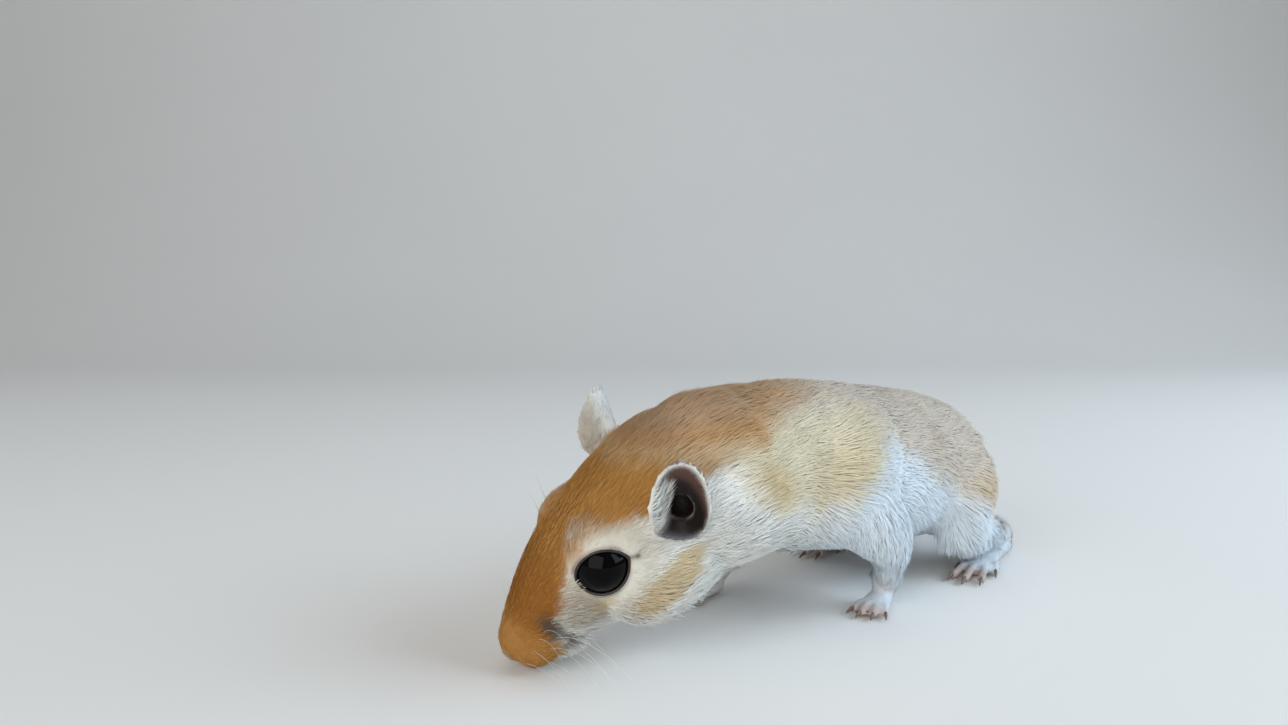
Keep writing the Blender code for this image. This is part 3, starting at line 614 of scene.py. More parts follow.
        flow = self.spread(unit(flow), 60)
        normals = self.normals()
        tailed = np.array([name == "tail_tip" for name in self.names])[self.owner].astype(float)
        self.lying = 1 - self.spread(tailed, 4)
        flow -= normals * ((flow * normals).sum(1) * self.lying)[:, None]
        self.flow = unit(flow)
        return normals


def largest_surface(mesh):
    """Drops every loose scrap but the largest surface of a mesh."""
    count = len(mesh.vertices)
    edges = np.empty(len(mesh.edges) * 2, np.int32)
    mesh.edges.foreach_get("vertices", edges)
    a, b = edges.reshape(-1, 2).T
    label = np.arange(count)
    while True:
        low = np.minimum(label[a], label[b])
        fresh = label.copy()
        np.minimum.at(fresh, a, low)
        np.minimum.at(fresh, b, low)
        fresh = fresh[fresh]
        if (fresh == label).all():
            break
        label = fresh
    main = np.bincount(label).argmax()
    drop = np.nonzero(label != main)[0]
    if len(drop):
        bm = bmesh.new()
        bm.from_mesh(mesh)
        bm.verts.ensure_lookup_table()
        bmesh.ops.delete(bm, geom=[bm.verts[i] for i in drop.tolist()], context="VERTS")
        bm.to_mesh(mesh)
        bm.free()
    return mesh


def set_vectors(mesh, name, values):
    layer = mesh.attributes.new(name, "FLOAT_VECTOR", "POINT")
    layer.data.foreach_set("vector", np.ascontiguousarray(values, np.float32).ravel())


# Shader maths -----


class Value:
    """A socket that is worked with as a number or, with the vector calls, as a vector or colour."""

    def __init__(self, paint, socket):
        self.paint = paint
        self.socket = socket

    def math(self, operation, *values):
        return self.paint.node("ShaderNodeMath", {"operation": operation}, values)

    def __add__(self, other):
        return self.math("ADD", self, other)

    def __radd__(self, other):
        return self.math("ADD", other, self)

    def __sub__(self, other):
        return self.math("SUBTRACT", self, other)

    def __rsub__(self, other):
        return self.math("SUBTRACT", other, self)

    def __mul__(self, other):
        return self.math("MULTIPLY", self, other)

    def __rmul__(self, other):
        return self.math("MULTIPLY", other, self)

    def __truediv__(self, other):
        return self.math("DIVIDE", self, other)

    def __abs__(self):
        return self.math("ABSOLUTE", self)

    def max(self, other):
        return self.math("MAXIMUM", self, other)

    def root(self):
        return self.math("SQRT", self)


class Paint:
    """The node tree of one material."""

    def __init__(self, name):
        self.material = bpy.data.materials.new(name)
        self.material.use_nodes = True
        self.tree = self.material.node_tree
        self.shader = self.tree.nodes["Principled BSDF"]

    def node(self, kind, settings=None, values=(), output=0):
        made = self.tree.nodes.new(kind)
        for key, value in (settings or {}).items():
            if key == "stops":
                ramp = made.color_ramp
                while len(ramp.elements) < len(value):
                    ramp.elements.new(0.5)
                for element, (place, colour) in zip(ramp.elements, value):
                    element.position = place
                    element.color = (colour, colour, colour, 1) if isinstance(colour, float) else (*colour, 1)
            else:
                setattr(made, key, value)
        pairs = values.items() if isinstance(values, dict) else enumerate(values)
        for key, value in pairs:
            self.feed(made.inputs[key], value)
        return Value(self, made.outputs[output])

    def feed(self, socket, value):
        if isinstance(value, Value):
            self.tree.links.new(value.socket, socket)
        elif isinstance(value, tuple) and len(value) == 3 and socket.type == "RGBA":
            socket.default_value = (*value, 1.0)
        else:
            socket.default_value = value

    def attribute(self, name):
        settings = {"attribute_type": "GEOMETRY", "attribute_name": name}
        return self.node("ShaderNodeAttribute", settings, (), "Vector")

    def split(self, vector):
        made = self.tree.nodes.new("ShaderNodeSeparateXYZ")
        self.feed(made.inputs[0], vector)
        return [Value(self, made.outputs[k]) for k in range(3)]

    def dot(self, vector, axis):
        return self.node("ShaderNodeVectorMath", {"operation": "DOT_PRODUCT"}, (vector, tuple(axis)), "Value")

    def shifted(self, vector, place):
        return self.node("ShaderNodeVectorMath", {"operation": "SUBTRACT"}, (vector, tuple(place)), "Vector")

    def step(self, value, low, high):
        settings = {"interpolation_type": "SMOOTHSTEP"}
        return self.node("ShaderNodeMapRange", settings, {0: value, 1: low, 2: high, 3: 0.0, 4: 1.0})

    def mix(self, factor, first, second):
        settings = {"data_type": "RGBA", "blend_type": "MIX"}
        return self.node("ShaderNodeMix", settings, {"Factor": factor, 6: first, 7: second}, 2)

    def scaled(self, colour, value):
        settings = {"data_type": "RGBA", "blend_type": "MULTIPLY"}
        grey = self.node("ShaderNodeCombineColor", {}, (value, value, value))
        return self.node("ShaderNodeMix", settings, {"Factor": 1.0, 6: colour, 7: grey}, 2)

    def noise(self, vector, scale, detail=2.0):
        return self.node("ShaderNodeTexNoise", {}, {"Vector": vector, "Scale": scale, "Detail": detail})

    def finish(self, **sockets):
        for name, value in sockets.items():
            self.feed(self.shader.inputs[name.replace("_", " ")], value)
        return self.material


# Colours of the coat and the bare skin, linear.
ORANGE = (0.50, 0.245, 0.066)
DEEP_ORANGE = (0.36, 0.145, 0.030)
NAPE_TAN = (0.48, 0.315, 0.190)
GOLD = (0.62, 0.45, 0.22)
CREAM = (0.71, 0.62, 0.44)
WHITE = (0.86, 0.85, 0.80)
# White painted with the bluish tint of daylight, for the flank and thigh.
PAINTED_DAYLIGHT_WHITE = (0.75, 0.825, 0.885)
ROSE_BEIGE = (0.62, 0.535, 0.475)
# Darker tan painted as the shade of the crease between the shoulder and the rump.
CREASE_SHADE_TAN = (0.50, 0.40, 0.31)
MUZZLE_GREY = (0.41, 0.34, 0.25)
DARK_GREY = (0.10, 0.085, 0.07)
EAR_ROSE = (0.085, 0.042, 0.030)
# Near black: the dark lid skin, and painted shade in the ear's hollow, the nostrils and the mouth line.
DARK_SKIN_AND_SHADE = (0.008, 0.004, 0.003)
EAR_GREY = (0.17, 0.165, 0.19)
EAR_BEIGE = (0.58, 0.53, 0.46)
PINK_SKIN = (0.46, 0.33, 0.29)
NOSE_BROWN = (0.34, 0.27, 0.22)
BRUSH_BROWN = (0.30, 0.20, 0.12)


def markings_and_painted_light(paint):
    """The coat's colour at a root's place, for the skin and for the tufts, with painted bluish daylight on the
    flank's white and painted shade at the waist's crease, in the ear's hollow, the nostrils and the mouth line.
    """
    root = paint.attribute("root")
    bare, dark, eared = paint.split(paint.attribute("kind"))
    pale, grey, chin_hair = paint.split(paint.attribute("tint"))
    beside = paint.shifted(root, HEAD_PLACE)
    u, v, w = (paint.dot(beside, HEAD_AXES[:, k] / MM) for k in range(3))
    x, y, z = (paint.dot(paint.shifted(root, TRUNK_PLACE), axis / MM) for axis in np.eye(3))
    wobble = paint.noise(root, 260.0) - 0.5
    fine = paint.noise(root, 900.0) - 0.5
    side = abs(u)

    def blob(coords, centre, radii, low=1.3, high=0.7):
        total = 0.0
        for c, at, r in zip(coords, centre, radii):
            part = (c - at) / r
            total = part * part + total
        return paint.step(total.root() + fine * 0.35, low, high)

    # Trunk: beige above, cream on the shoulder, white below; the white behind the shoulder has painted bluish
    # daylight, and a painted shade line marks the crease before the rump.
    flank_edge = 24.5 + 9.0 * paint.step(y, -24.0, -6.0) - 0.48 * (y + 3.0).max(0.0)
    above = paint.step(z - flank_edge + wobble * 5.0, -3.5, 3.5)
    fore = paint.step(y + wobble * 6.0, -6.0, -16.0)
    high = paint.step(z + wobble * 4.0, 35.0, 42.0)
    beige = paint.mix(high * 0.6, CREAM, ROSE_BEIGE)
    upper = paint.mix(fore, paint.mix(0.75, CREAM, ROSE_BEIGE), beige)
    # The white behind the shoulder is tinted bluish: painted daylight.
    white = paint.mix(paint.step(y, -28.0, -12.0), WHITE, PAINTED_DAYLIGHT_WHITE)
    colour = paint.mix(above, white, upper)
    gold = blob((y + wobble * 5.0, z), (-39.5, 27.6), (6.0, 4.0), 1.6, 0.5)
    second = blob((y + wobble * 5.0, z), (-18.0, 29.6), (9.5, 3.4), 1.6, 0.4)
    colour = paint.mix((gold * 0.8).max(second * 0.22), colour, GOLD)
    # A darker line on the sides at the waist: painted shade of the crease between the shoulder and the rump.
    crease_shade = blob((y + 0.35 * (z - 34.0) + wobble * 2.0, z), (16.5, 34.5), (1.5, 5.5), 1.5, 0.5)
    colour = paint.mix(crease_shade * paint.step(abs(x), 5.0, 8.0) * 0.6, colour, CREASE_SHADE_TAN)
    rear = blob((y - 0.8 * (z - 21.0), z), (32.8, 21.0), (2.6, 2.2), 1.5, 0.5)
    colour = paint.mix(rear * paint.step(abs(x), 12.0, 15.0) * 0.6, colour, GOLD)

    # Nape: tan over the neck, with an edge behind the ears.
    nape_edge = 34.6 + 0.29 * (y + 44.0).max(0.0)
    ahead = paint.step(y - 1.3 * (z - 38.0) + wobble * 6.0, -5.0, -18.0)
    nape = paint.step(z - nape_edge + wobble * 5.0, -2.4, 3.0) * ahead
    deeper = 0.6 * paint.step(z - nape_edge, 5.5, 1.0) * paint.step(y, -20.0, -34.0)
    tan = paint.mix(deeper, NAPE_TAN, ORANGE)
    colour = paint.mix(nape, colour, tan)

    # Head: orange above an edge that arches over the eye, white below it.
    stops = [((back + 24) / 60, (height + 12) / 24) for back, height in CROWN_EDGE]
    ramp = paint.node("ShaderNodeValToRGB", {"stops": stops}, ((v + 24.0) / 60.0,))
    edge = paint.split(ramp)[0] * 24.0 - 12.0
    is_head = paint.step(v, 26.0, 20.0)
    crown = paint.step(w - edge + wobble * 2.0 + fine * 1.2, -1.1, 1.3)
    ring = blob((side, v, w), (8.5, 0.5, 0.5), (7.5, 7.6, 7.4))
    face_white = paint.mix(ring * 0.45, WHITE, CREAM)
    orange = paint.mix(paint.step(v + wobble * 6.0, -2.0, -12.0), ORANGE, DEEP_ORANGE)
    orange = paint.mix(0.8 * paint.step(v + wobble * 5.0, 12.0, 23.0), orange, NAPE_TAN)
    head = paint.mix(crown, face_white, orange)
    muzzle = blob((side, v, w), (7.8, -7.4, -3.2), (4.0, 4.2, 4.2))
    head = paint.mix(muzzle * 0.75 * (1.0 - crown), head, MUZZLE_GREY)
    cheek = blob((v, w - 0.17 * v), (5.4, -7.6), (7.6, 2.5), 1.25, 0.75) * paint.step(side, 7.0, 9.0)
    head = paint.mix(cheek * 0.8, head, GOLD)
    smudge = blob((side, v, w), (9.2, -4.3, -4.2), (3.0, 2.6, 1.1))
    head = paint.mix(smudge * 0.5, head, GOLD)
    tip = paint.step(v + 0.35 * w + wobble * 2.0, -15.0, -17.5) * paint.step(w, -11.0, -8.5)
    head = paint.mix(tip, head, paint.mix(0.3, ORANGE, DEEP_ORANGE))
    pad = blob((side, v, w), (5.9, -13.0, -3.8), (2.2, 1.3, 2.8))
    pad = pad.max(blob((side, v, w), (4.9, -12.0, -8.4), (2.4, 1.1, 3.4)))
    head = paint.mix(pad * 0.85, head, DARK_GREY)
    chin = paint.step(w, -8.5, -10.5) * paint.step(v, -20.5, -18.0)
    head = paint.mix(chin.max(chin_hair), head, WHITE)
    colour = paint.mix(is_head * (1.0 - nape), colour, head)

    # Tail: tan above, cream below, brown along the top of its brush.
    is_tail = paint.step(y - 0.3 * x, 58.0, 64.0)
    tail = paint.mix(paint.step(z + wobble * 1.5, 2.0, 4.4), CREAM, GOLD)
    top = paint.step(y, 122.0, 134.0) * paint.step(z, 2.0, 4.2).max(paint.step(y, 138.0, 143.0))
    tail = paint.mix(top, tail, BRUSH_BROWN)
    colour = paint.mix(is_tail, colour, tail)

    # Ears, nose and toes, where the skin shows.
    colour = paint.mix(eared, colour, paint.mix(grey, paint.mix(pale, EAR_BEIGE, WHITE), EAR_GREY))
    nose = paint.step(v, -19.0, -20.6)
    flesh = paint.mix(eared, paint.mix(nose, PINK_SKIN, NOSE_BROWN), paint.mix(grey, EAR_ROSE, EAR_GREY))
    # The dark share is the lid's dark skin and painted shade in the ear's hollow, the nostrils and the mouth line.
    colour = paint.mix(bare, colour, paint.mix(dark, flesh, DARK_SKIN_AND_SHADE))
    return paint.scaled(colour, 1.0 + wobble * 0.16 + fine * 0.12), root, bare


def skin_material():
    paint = Paint("skin")
    colour, root, bare = markings_and_painted_light(paint)
    under = paint.scaled(colour, 0.85 + 0.15 * bare)
    grain = paint.noise(root, 2600.0, 3.0)
    bump = paint.node("ShaderNodeBump", {}, {"Strength": 0.35, "Distance": 0.0002, "Height": grain}, "Normal")
    return paint.finish(Base_Color=under, Roughness=0.85 - 0.3 * bare, Specular_IOR_Level=0.25, Normal=bump)


def coat_material():
    paint = Paint("coat")
    colour = markings_and_painted_light(paint)[0]
    along, shade, clump = paint.split(paint.attribute("strand"))
    tone = (0.84 + 0.20 * along) * (0.91 + 0.16 * shade) * (0.95 + 0.1 * clump)
    colour = paint.scaled(colour, tone)
    return paint.finish(Base_Color=colour, Roughness=0.8, Specular_IOR_Level=0.06)


def eye_material():
    paint = Paint("eye")
    place = paint.node("ShaderNodeTexCoord", {}, (), "Object")
    shade = paint.noise(place, 300.0, 2.0)
    colour = paint.mix(shade, (0.001, 0.001, 0.001), (0.003, 0.002, 0.002))
    return paint.finish(Base_Color=colour, Roughness=0.05, Specular_IOR_Level=0.08)


def lid_material():
    paint = Paint("lid_rim")
    place = paint.node("ShaderNodeTexCoord", {}, (), "Object")
    grain = paint.noise(place, 1800.0, 3.0)
    colour = paint.mix(grain, (0.010, 0.007, 0.006), (0.035, 0.024, 0.020))
    bump = paint.node("ShaderNodeBump", {}, {"Strength": 0.4, "Distance": 0.0001, "Height": grain}, "Normal")
    return paint.finish(Base_Color=colour, Roughness=0.35, Normal=bump)


def claw_material():
    paint = Paint("claw")
    place = paint.node("ShaderNodeTexCoord", {}, (), "Object")
    grain = paint.noise(place, 900.0, 3.0)
    colour = paint.mix(grain, (0.09, 0.06, 0.045), (0.24, 0.17, 0.13))
    return paint.finish(Base_Color=colour, Roughness=0.38 + 0.15 * grain)


def whisker_material():
    paint = Paint("whisker")
    along = paint.split(paint.attribute("strand"))[0]
    colour = paint.mix(along, (0.55, 0.48, 0.40), (0.88, 0.86, 0.82))
    return paint.finish(Base_Color=colour, Roughness=0.4)


def grow(points, normals, flow, length, width, stand, chance, bend):
    """Tufts as thin tapered forms: their points, triangles, normals and how far along them each point is."""
    count = len(points)
    across = unit(np.cross(flow, normals))
    roots = points - normals * 0.25 * MM
    half = across * (width / 2)[:, None]
    thick = normals * (width * 0.22)[:, None]
    sway = across * (chance.normal(0, 0.07, count) * length)[:, None]
    tip = points + flow * length[:, None] + normals * stand[:, None] + sway
    rings = [(roots, 1.0)]
    if bend:
        risen = normals * (stand * 0.75)[:, None]
        rings.append((points + flow * (length * 0.45)[:, None] + risen + sway * 0.2, 0.85))
    made = []
    for centre, share in rings:
        made += [centre - half * share, centre + half * share, centre + thick * share]
    made.append(tip)
    per = len(made)
    verts = np.stack(made, axis=1)
    faces = [(0, 1, 2)]
    for k in range(len(rings) - 1):
        for s in range(3):
            t = (s + 1) % 3
            a, b, c, d = 3 * k + s, 3 * k + t, 3 * k + 3 + t, 3 * k + 3 + s
            faces += [(b, a, d), (b, d, c)]
    last = 3 * (len(rings) - 1)
    faces += [(last + 1, last, per - 1), (last + 2, last + 1, per - 1), (last, last + 2, per - 1)]
    faces = np.array(faces)[None] + (np.arange(count) * per)[:, None, None]
    along = np.array([0.0] * 3 + ([0.5] * 3 if bend else []) + [1.0])
    ring = [normals - 0.3 * across, normals + 0.3 * across, normals]
    soft = unit(np.stack(ring * len(rings) + [normals + 0.15 * flow], axis=1))
    return verts, faces.reshape(-1, 3), soft, along


def wave(points, scale, phase):
    """A smooth wandering value from -1 to 1 over the skin."""
    p = points / MM / scale
    a = np.sin(p[:, 0] * 1.0 + p[:, 1] * 0.7 + 2.1 * np.sin(p[:, 2] * 0.8 + phase))
    b = np.sin(p[:, 1] * 1.3 - p[:, 2] * 0.9 + 1.7 * np.sin(p[:, 0] * 0.6 + 2 * phase))
    return 0.5 * (a + b)


def coat(surface, normals, kind, tint, material, body):
    """Grows the coat over the skin, in pieces."""
    chance = np.random.default_rng(SEED)
    mesh = surface.mesh
    points, faces = arrays_of(mesh)
    corner = points[faces]
    normal = np.cross(corner[:, 1] - corner[:, 0], corner[:, 2] - corner[:, 0])
    area = np.linalg.norm(normal, axis=1) / 2 / MM**2
    table = np.array([FLESH[name] for name in surface.names])
    local = to_head(surface.points)
    owner = surface.owner
    length = surface.spread(table[owner, 1], 25)
    density = table[owner, 2].copy()
    head = owner == surface.names.index("head")
    eyed = np.full(len(points), 99.0)
    for side in (1, -1):
        eyed = np.minimum(eyed, opening(side, surface.points)[1])
    nose = np.linalg.norm(local - np.array(NOSE_TIP), axis=1)
    length = np.where(head, length * (0.32 + 0.68 * smoothstep(nose, 2.0, 13.0)), length)
    length = np.where(head, length * (0.5 + 0.5 * smoothstep(eyed, 5.2, 8.5)), length)
    throat = head * smoothstep(local[:, 1], -4.0, 8.0) * smoothstep(-local[:, 2], 5.0, 11.0)
    length = length * (1 + 1.2 * throat) + 1.4 * (1 - head) * tint[:, 2]
    under = (1 - smoothstep(surface.points[:, 2] / MM, 8.0, 20.0)) * (owner == surface.names.index("neck"))
    length = length * (1 + 0.4 * under)
    bare = kind[:, 0]
    density = density * (1 - 0.85 * bare) * (surface.socket < 0.4) * (surface.hole < 0.3)
    density = density * np.where((surface.points[:, 2] < 0.5 * MM) & (normals[:, 2] < -0.5), 0.0, 1.0)
    density = density * np.where(head, 1 + 1.2 * (1 - smoothstep(nose, 4.0, 12.0)), 1.0)
    weight = area * density[faces].mean(1)
    wanted = int(weight.sum() * (1.0))
    picks = np.searchsorted(np.cumsum(weight) / weight.sum(), chance.random(wanted))
    drop = (4.0 * head * chin_share(local) + 0.5 * throat) * smoothstep(-normals[:, 2], -0.2, 0.35)
    hanging = area * drop[faces].mean(1)
    extra = int(HANGING_TUFTS * (1.0))
    picks = np.append(picks, np.searchsorted(np.cumsum(hanging) / hanging.sum(), chance.random(extra)))
    hangs = np.arange(wanted + extra) >= wanted
    wanted += extra
    share = chance.random((wanted, 2))
    flip = share.sum(1) > 1
    share[flip] = 1 - share[flip]
    share = np.column_stack([1 - share.sum(1), share])
    trio = faces[picks]

    def at(values):
        return (values[trio] * (share[..., None] if values.ndim == 2 else share)).sum(1)

    place = at(surface.points)
    out = unit(at(normals))
    flow = at(surface.flow)
    clump = wave(place, 2.2, 0.4)
    swing = 0.14 * wave(place, 5.0, 1.1) + 0.10 * clump + chance.normal(0, 0.10, wanted)
    across = unit(np.cross(flow, out))
    flow = unit(flow + across * swing[:, None])
    flow = unit(flow - out * ((flow * out).sum(1) * at(surface.lying))[:, None])
    long = at(length) * chance.uniform(0.75, 1.2, wanted) * MM
    falling = flow * 0.9 + out * 0.15 + np.array([0.0, 0.0, -0.6]) + chance.normal(0, 0.05, (wanted, 3))
    flow = np.where(hangs[:, None], unit(falling), flow)
    lock = (2.4 + 2.0 * at(chin_share(local))) * chance.uniform(0.6, 1.25, wanted) * MM
    lock = np.minimum(lock, np.maximum(0.8 * place[:, 2] - 0.6 * MM, 0.4 * MM))
    long = np.where(hangs, lock, long)
    depth = at(surface.depth) * MM
    stand = np.maximum(depth * chance.uniform(0.3, 0.85, wanted), 0.10 * MM) + long * 0.02 * (1 + clump)
    stand = np.where(hangs, 0.05 * MM, stand + long * 0.10 * at(throat + 2.0 * tint[:, 2]))
    widest = np.where(hangs, 0.15, 0.28) * MM
    width = np.clip(long * 0.065, 0.13 * MM, widest) * chance.uniform(0.8, 1.2, wanted)
    shade = np.column_stack([chance.random(wanted), 0.5 + 0.5 * clump])
    kinds, tints = at(kind), at(tint)
    uv = unwrap(surface, place)
    short = long < SHORT_HAIR * MM
    order = np.lexsort((place[:, 1], short))
    forms = (place, out, flow, long, width, stand)
    pieces, start = 0, 0
    while start < wanted:
        bend = not short[order[start]]
        limit = LONG_TUFTS if bend else SHORT_TUFTS
        stop = min(start + limit, wanted)
        if bend:
            stop = min(stop, int((~short).sum()))
        pick = order[start:stop]
        start = stop
        verts, tris, soft, along = grow(*(values[pick] for values in forms), chance, bend)
        verts[..., 2] = np.maximum(verts[..., 2], 0.05 * MM)
        per = verts.shape[1]
        pieces += 1
        name = f"coat_{pieces}"
        made = array_mesh(name, verts.reshape(-1, 3), tris)
        every = np.repeat(np.arange(len(pick)), per)
        set_vectors(made, "root", place[pick][every])
        set_vectors(made, "kind", kinds[pick][every])
        set_vectors(made, "tint", tints[pick][every])
        run = np.tile(along, len(pick))
        set_vectors(made, "strand", np.column_stack([run, shade[pick][every]]))
        aside = np.tile(np.arange(per) % 3 / 2, len(pick))
        patch = uv[pick][every] + np.column_stack([UV_PATCH * aside, UV_PATCH * run])
        layer = made.uv_layers.new(name="OFBake")
        layer.data.foreach_set("uv", patch[tris.ravel()].astype(np.float32).ravel())
        made.normals_split_custom_set_from_vertices(soft.reshape(-1, 3).astype(np.float32))
        obj = add_object(name, made, material)
        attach(obj, body)


def unwrap(surface, places):
    """Where places on the skin lie on an unwrap of a plainer copy of it."""
    obj = add_object("unwrapping", surface.mesh.copy())
    thin = obj.modifiers.new("thin", "DECIMATE")
    thin.ratio = 0.09
    mesh = evaluated(obj)
    obj = add_object("unwrapping", mesh)
    bpy.ops.object.select_all(action="DESELECT")
    bpy.context.view_layer.objects.active = obj
    obj.select_set(True)
    bpy.ops.object.mode_set(mode="EDIT")
    bpy.ops.mesh.select_all(action="SELECT")
    bpy.ops.uv.smart_project(angle_limit=math.radians(66), island_margin=0.004)
    bpy.ops.object.mode_set(mode="OBJECT")
    mesh = obj.data
    mesh.calc_loop_triangles()
    points, faces = arrays_of(mesh)
    loops = np.empty(len(faces) * 3, np.int32)
    mesh.loop_triangles.foreach_get("loops", loops)
    uv = np.empty(len(mesh.loops) * 2, np.float32)
    mesh.uv_layers.active.data.foreach_get("uv", uv)
    corners = uv.reshape(-1, 2)[loops].reshape(-1, 3, 2)
    tree = tree_of(points, faces)
    found = [tree.find_nearest(Vector(p)) for p in places]
    index = np.array([f[2] for f in found])
    spot = np.array([f[0] for f in found])
    a, b, c = (points[faces[index, k]] for k in range(3))
    e1, e2, e3 = b - a, c - a, spot - a
    d11, d12, d22 = (e1 * e1).sum(1), (e1 * e2).sum(1), (e2 * e2).sum(1)
    d31, d32 = (e3 * e1).sum(1), (e3 * e2).sum(1)
    below = np.maximum(d11 * d22 - d12 * d12, 1e-20)
    second = (d22 * d31 - d12 * d32) / below
    third = (d11 * d32 - d12 * d31) / below
    weights = np.clip(np.column_stack([1 - second - third, second, third]), 0, 1)
    weights /= weights.sum(1, keepdims=True)
    bpy.data.objects.remove(obj)
    return (corners[index] * weights[..., None]).sum(1) * 0.994


def kinds_of(surface, normals):
    """How bare, how dark and how much of an ear every vertex is, and how pale or grey the ears' coat is; the dark
    is the lid's dark skin and painted shade in the ear's hollow, the nostrils and the mouth line.
    """
    names = surface.names
    owner = surface.owner
    is_ear = np.array([name.startswith("ear") for name in names])[owner].astype(float)
    local = to_head(surface.points)
    mirror = local.copy()
    mirror[:, 0] = np.abs(mirror[:, 0])
    head = (owner == names.index("head")).astype(float)
    dark, inner, pale, grey, whisk = np.zeros((5, len(owner)))
    for side in (1, -1):
        mine = is_ear * (local[:, 0] * side > 0)
        axes = ear_axes(side)
        across, height, _ = ((local - np.array(EAR_ROOT[side])) @ axes).T
        facing = (normals @ HEAD_AXES) @ axes
        spot = np.column_stack([across / EAR_HALF_WIDTH, height / EAR_HALF_HEIGHT - 1])
        reach = np.linalg.norm(spot, axis=1)
        inward = -(facing[:, :2] * unit(spot)).sum(1) * smoothstep(reach, 0.4, 0.85)
        cup = mine * smoothstep(facing[:, 2] + inward, 0.0, 0.4) * smoothstep(-reach, -1.0, -0.88)
        hairy = smoothstep(-across, 0.9, 2.3) * smoothstep(height, 1.5, 3.0) * smoothstep(-height, -10.5, -8.5)
        inner += cup * (1 - 0.9 * hairy)
        whisk += cup * hairy
        # The dark in the middle of the cup is painted shade of the ear's hollow and canal.
        long = (across - 1.0) * 0.57 - (height - 6.0) * 0.82
        wide = (across - 1.0) * 0.82 + (height - 6.0) * 0.57
        deep = 1 - smoothstep(np.hypot(long / 4.8, wide / 2.9), 0.7, 1.15)
        deep = np.maximum(deep, 1 - smoothstep(np.hypot(across - 0.5, height - 4.3), 3.0, 4.2))
        dark += cup * deep * (1 - hairy)
        grey += mine * (1 - smoothstep(height, 1.3, 3.2)) * 0.9
        pale += mine * (smoothstep(across, -3.2, -1.4) if side < 0 else 1 - 0.3 * (facing[:, 2] < 0))
    under = smoothstep(-normals[:, 2], 0.1, 0.7)
    bare = inner.copy()
    trunk = (surface.points - TRUNK_PLACE) / MM
    for name, (place, heading, _, _, sole, _, _, _) in FEET.items():
        turn = np.array(Matrix.Rotation(math.radians(heading), 3, "Z"))
        ahead = -((trunk - np.array([*place, 0.0])) @ turn)[:, 1]
        toes = smoothstep(ahead, -sole[-1][1] - 0.5, -sole[-1][1] + 2.5)
        worn = np.clip(0.08 + 0.75 * toes + 0.6 * under, 0, 0.95)
        bare = np.maximum(bare, (owner == names.index(name)) * worn)
    nose = np.linalg.norm((local - np.array([0, -21.4, -6.0])) / np.array([2.4, 1.9, 2.0]), axis=1)
    bare = np.maximum(bare, head * (nose < 1) * 0.8)
    corner = head * np.exp(-((line_distance(mirror, EYE_CORNER) / 0.62) ** 2))
    seen = np.maximum(surface.socket, corner)
    bare = np.maximum(bare, seen)
    # The nostrils and the mouth line are painted dark as painted shade; the lid rim and its corner are dark skin.
    dark = np.maximum(dark, np.maximum(surface.hole, seen))
    dark = np.maximum(dark, surface.seam * 0.8)
    kind = np.column_stack([bare, dark, is_ear])
    tint = np.column_stack([pale, grey, head * chin_share(local) + whisk])
    return np.clip(surface.spread(kind, 2), 0, 1), np.clip(surface.spread(tint, 2), 0, 1)


def skin_piece(surface, kind, tint, body):
    mesh = surface.mesh
    mesh.name = "skin"
    mesh.shade_smooth()
    set_vectors(mesh, "root", surface.points)
    set_vectors(mesh, "kind", kind)
    set_vectors(mesh, "tint", tint)
    obj = add_object("skin", mesh, skin_material())
    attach(obj, body)
    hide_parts(*FLESH)


def eye_pieces(body):
    glossy, rim = eye_material(), lid_material()
    for side, word in ((1, "left"), (-1, "right")):
        bm = bmesh.new()
        bmesh.ops.create_icosphere(bm, subdivisions=5, radius=EYE_RADIUS * MM)
        axes = eye_axes(side)
        for vert in bm.verts:
            lift = max(0.0, vert.co.normalized().x - 0.82) * 0.9
            vert.co = vert.co * (1 + 0.06 * lift)
        turn = Matrix([list(row) for row in axes]).to_4x4()
        bm.transform(Matrix.Translation(Vector(EYES[side])) @ turn)
        if axes @ np.array([1, 0, 0]) @ np.cross(axes[:, 1], axes[:, 2]) < 0:
            bmesh.ops.reverse_faces(bm, faces=bm.faces)
        mesh = bpy.data.meshes.new("eyeball")
        bm.to_mesh(mesh)
        bm.free()
        mesh.shade_smooth()
        ball = add_object(f"eyeball_{word}", mesh, glossy)
        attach(ball, body)
        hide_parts(f"eye_{word}")
        points, faces = lid_form(side)
        lid = add_object(f"lid_rim_{word}", array_mesh("lid", points, faces), rim)
        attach(lid, body)


def lid_form(side):
    """A dark rim round the opening between the lids, drawn out at its rear corner."""
    steps, sides = 72, 8
    axes = eye_axes(side)
    angle = np.linspace(0, 2 * math.pi, steps, endpoint=False)
    rear = EYE_HALF_LENGTH * np.cos(angle)
    up = EYE_HALF_HEIGHT * np.sign(np.sin(angle)) * np.abs(np.sin(angle)) ** 1.2
    corner = np.exp(-((angle - 2 * math.pi * (angle > math.pi)) ** 2) / 0.04)
    reach = EYE_RADIUS + 0.24
    out = np.sqrt(np.maximum(reach**2 - rear**2 - up**2, 0.3))
    course = unit(np.column_stack([out, rear + 0.1 * corner, up])) * (reach + 0.1 * corner)[:, None]
    ahead = unit(np.roll(course, -1, 0) - np.roll(course, 1, 0))
    over = unit(course)
    across = unit(np.cross(ahead, over))
    turn = np.linspace(0, 2 * math.pi, sides, endpoint=False)
    wide = 0.22 + 0.14 * corner
    ring = across[:, None] * (wide[:, None] * np.cos(turn))[..., None]
    ring = ring + over[:, None] * (0.24 * np.sin(turn))[None, :, None]
    points = (course[:, None] + ring).reshape(-1, 3)
    faces = []
    for k in range(steps):
        n = (k + 1) % steps
        for s in range(sides):
            t = (s + 1) % sides
            faces.append((k * sides + s, k * sides + t, n * sides + t, n * sides + s))
    return points * MM @ axes.T + EYES[side], np.array(faces)


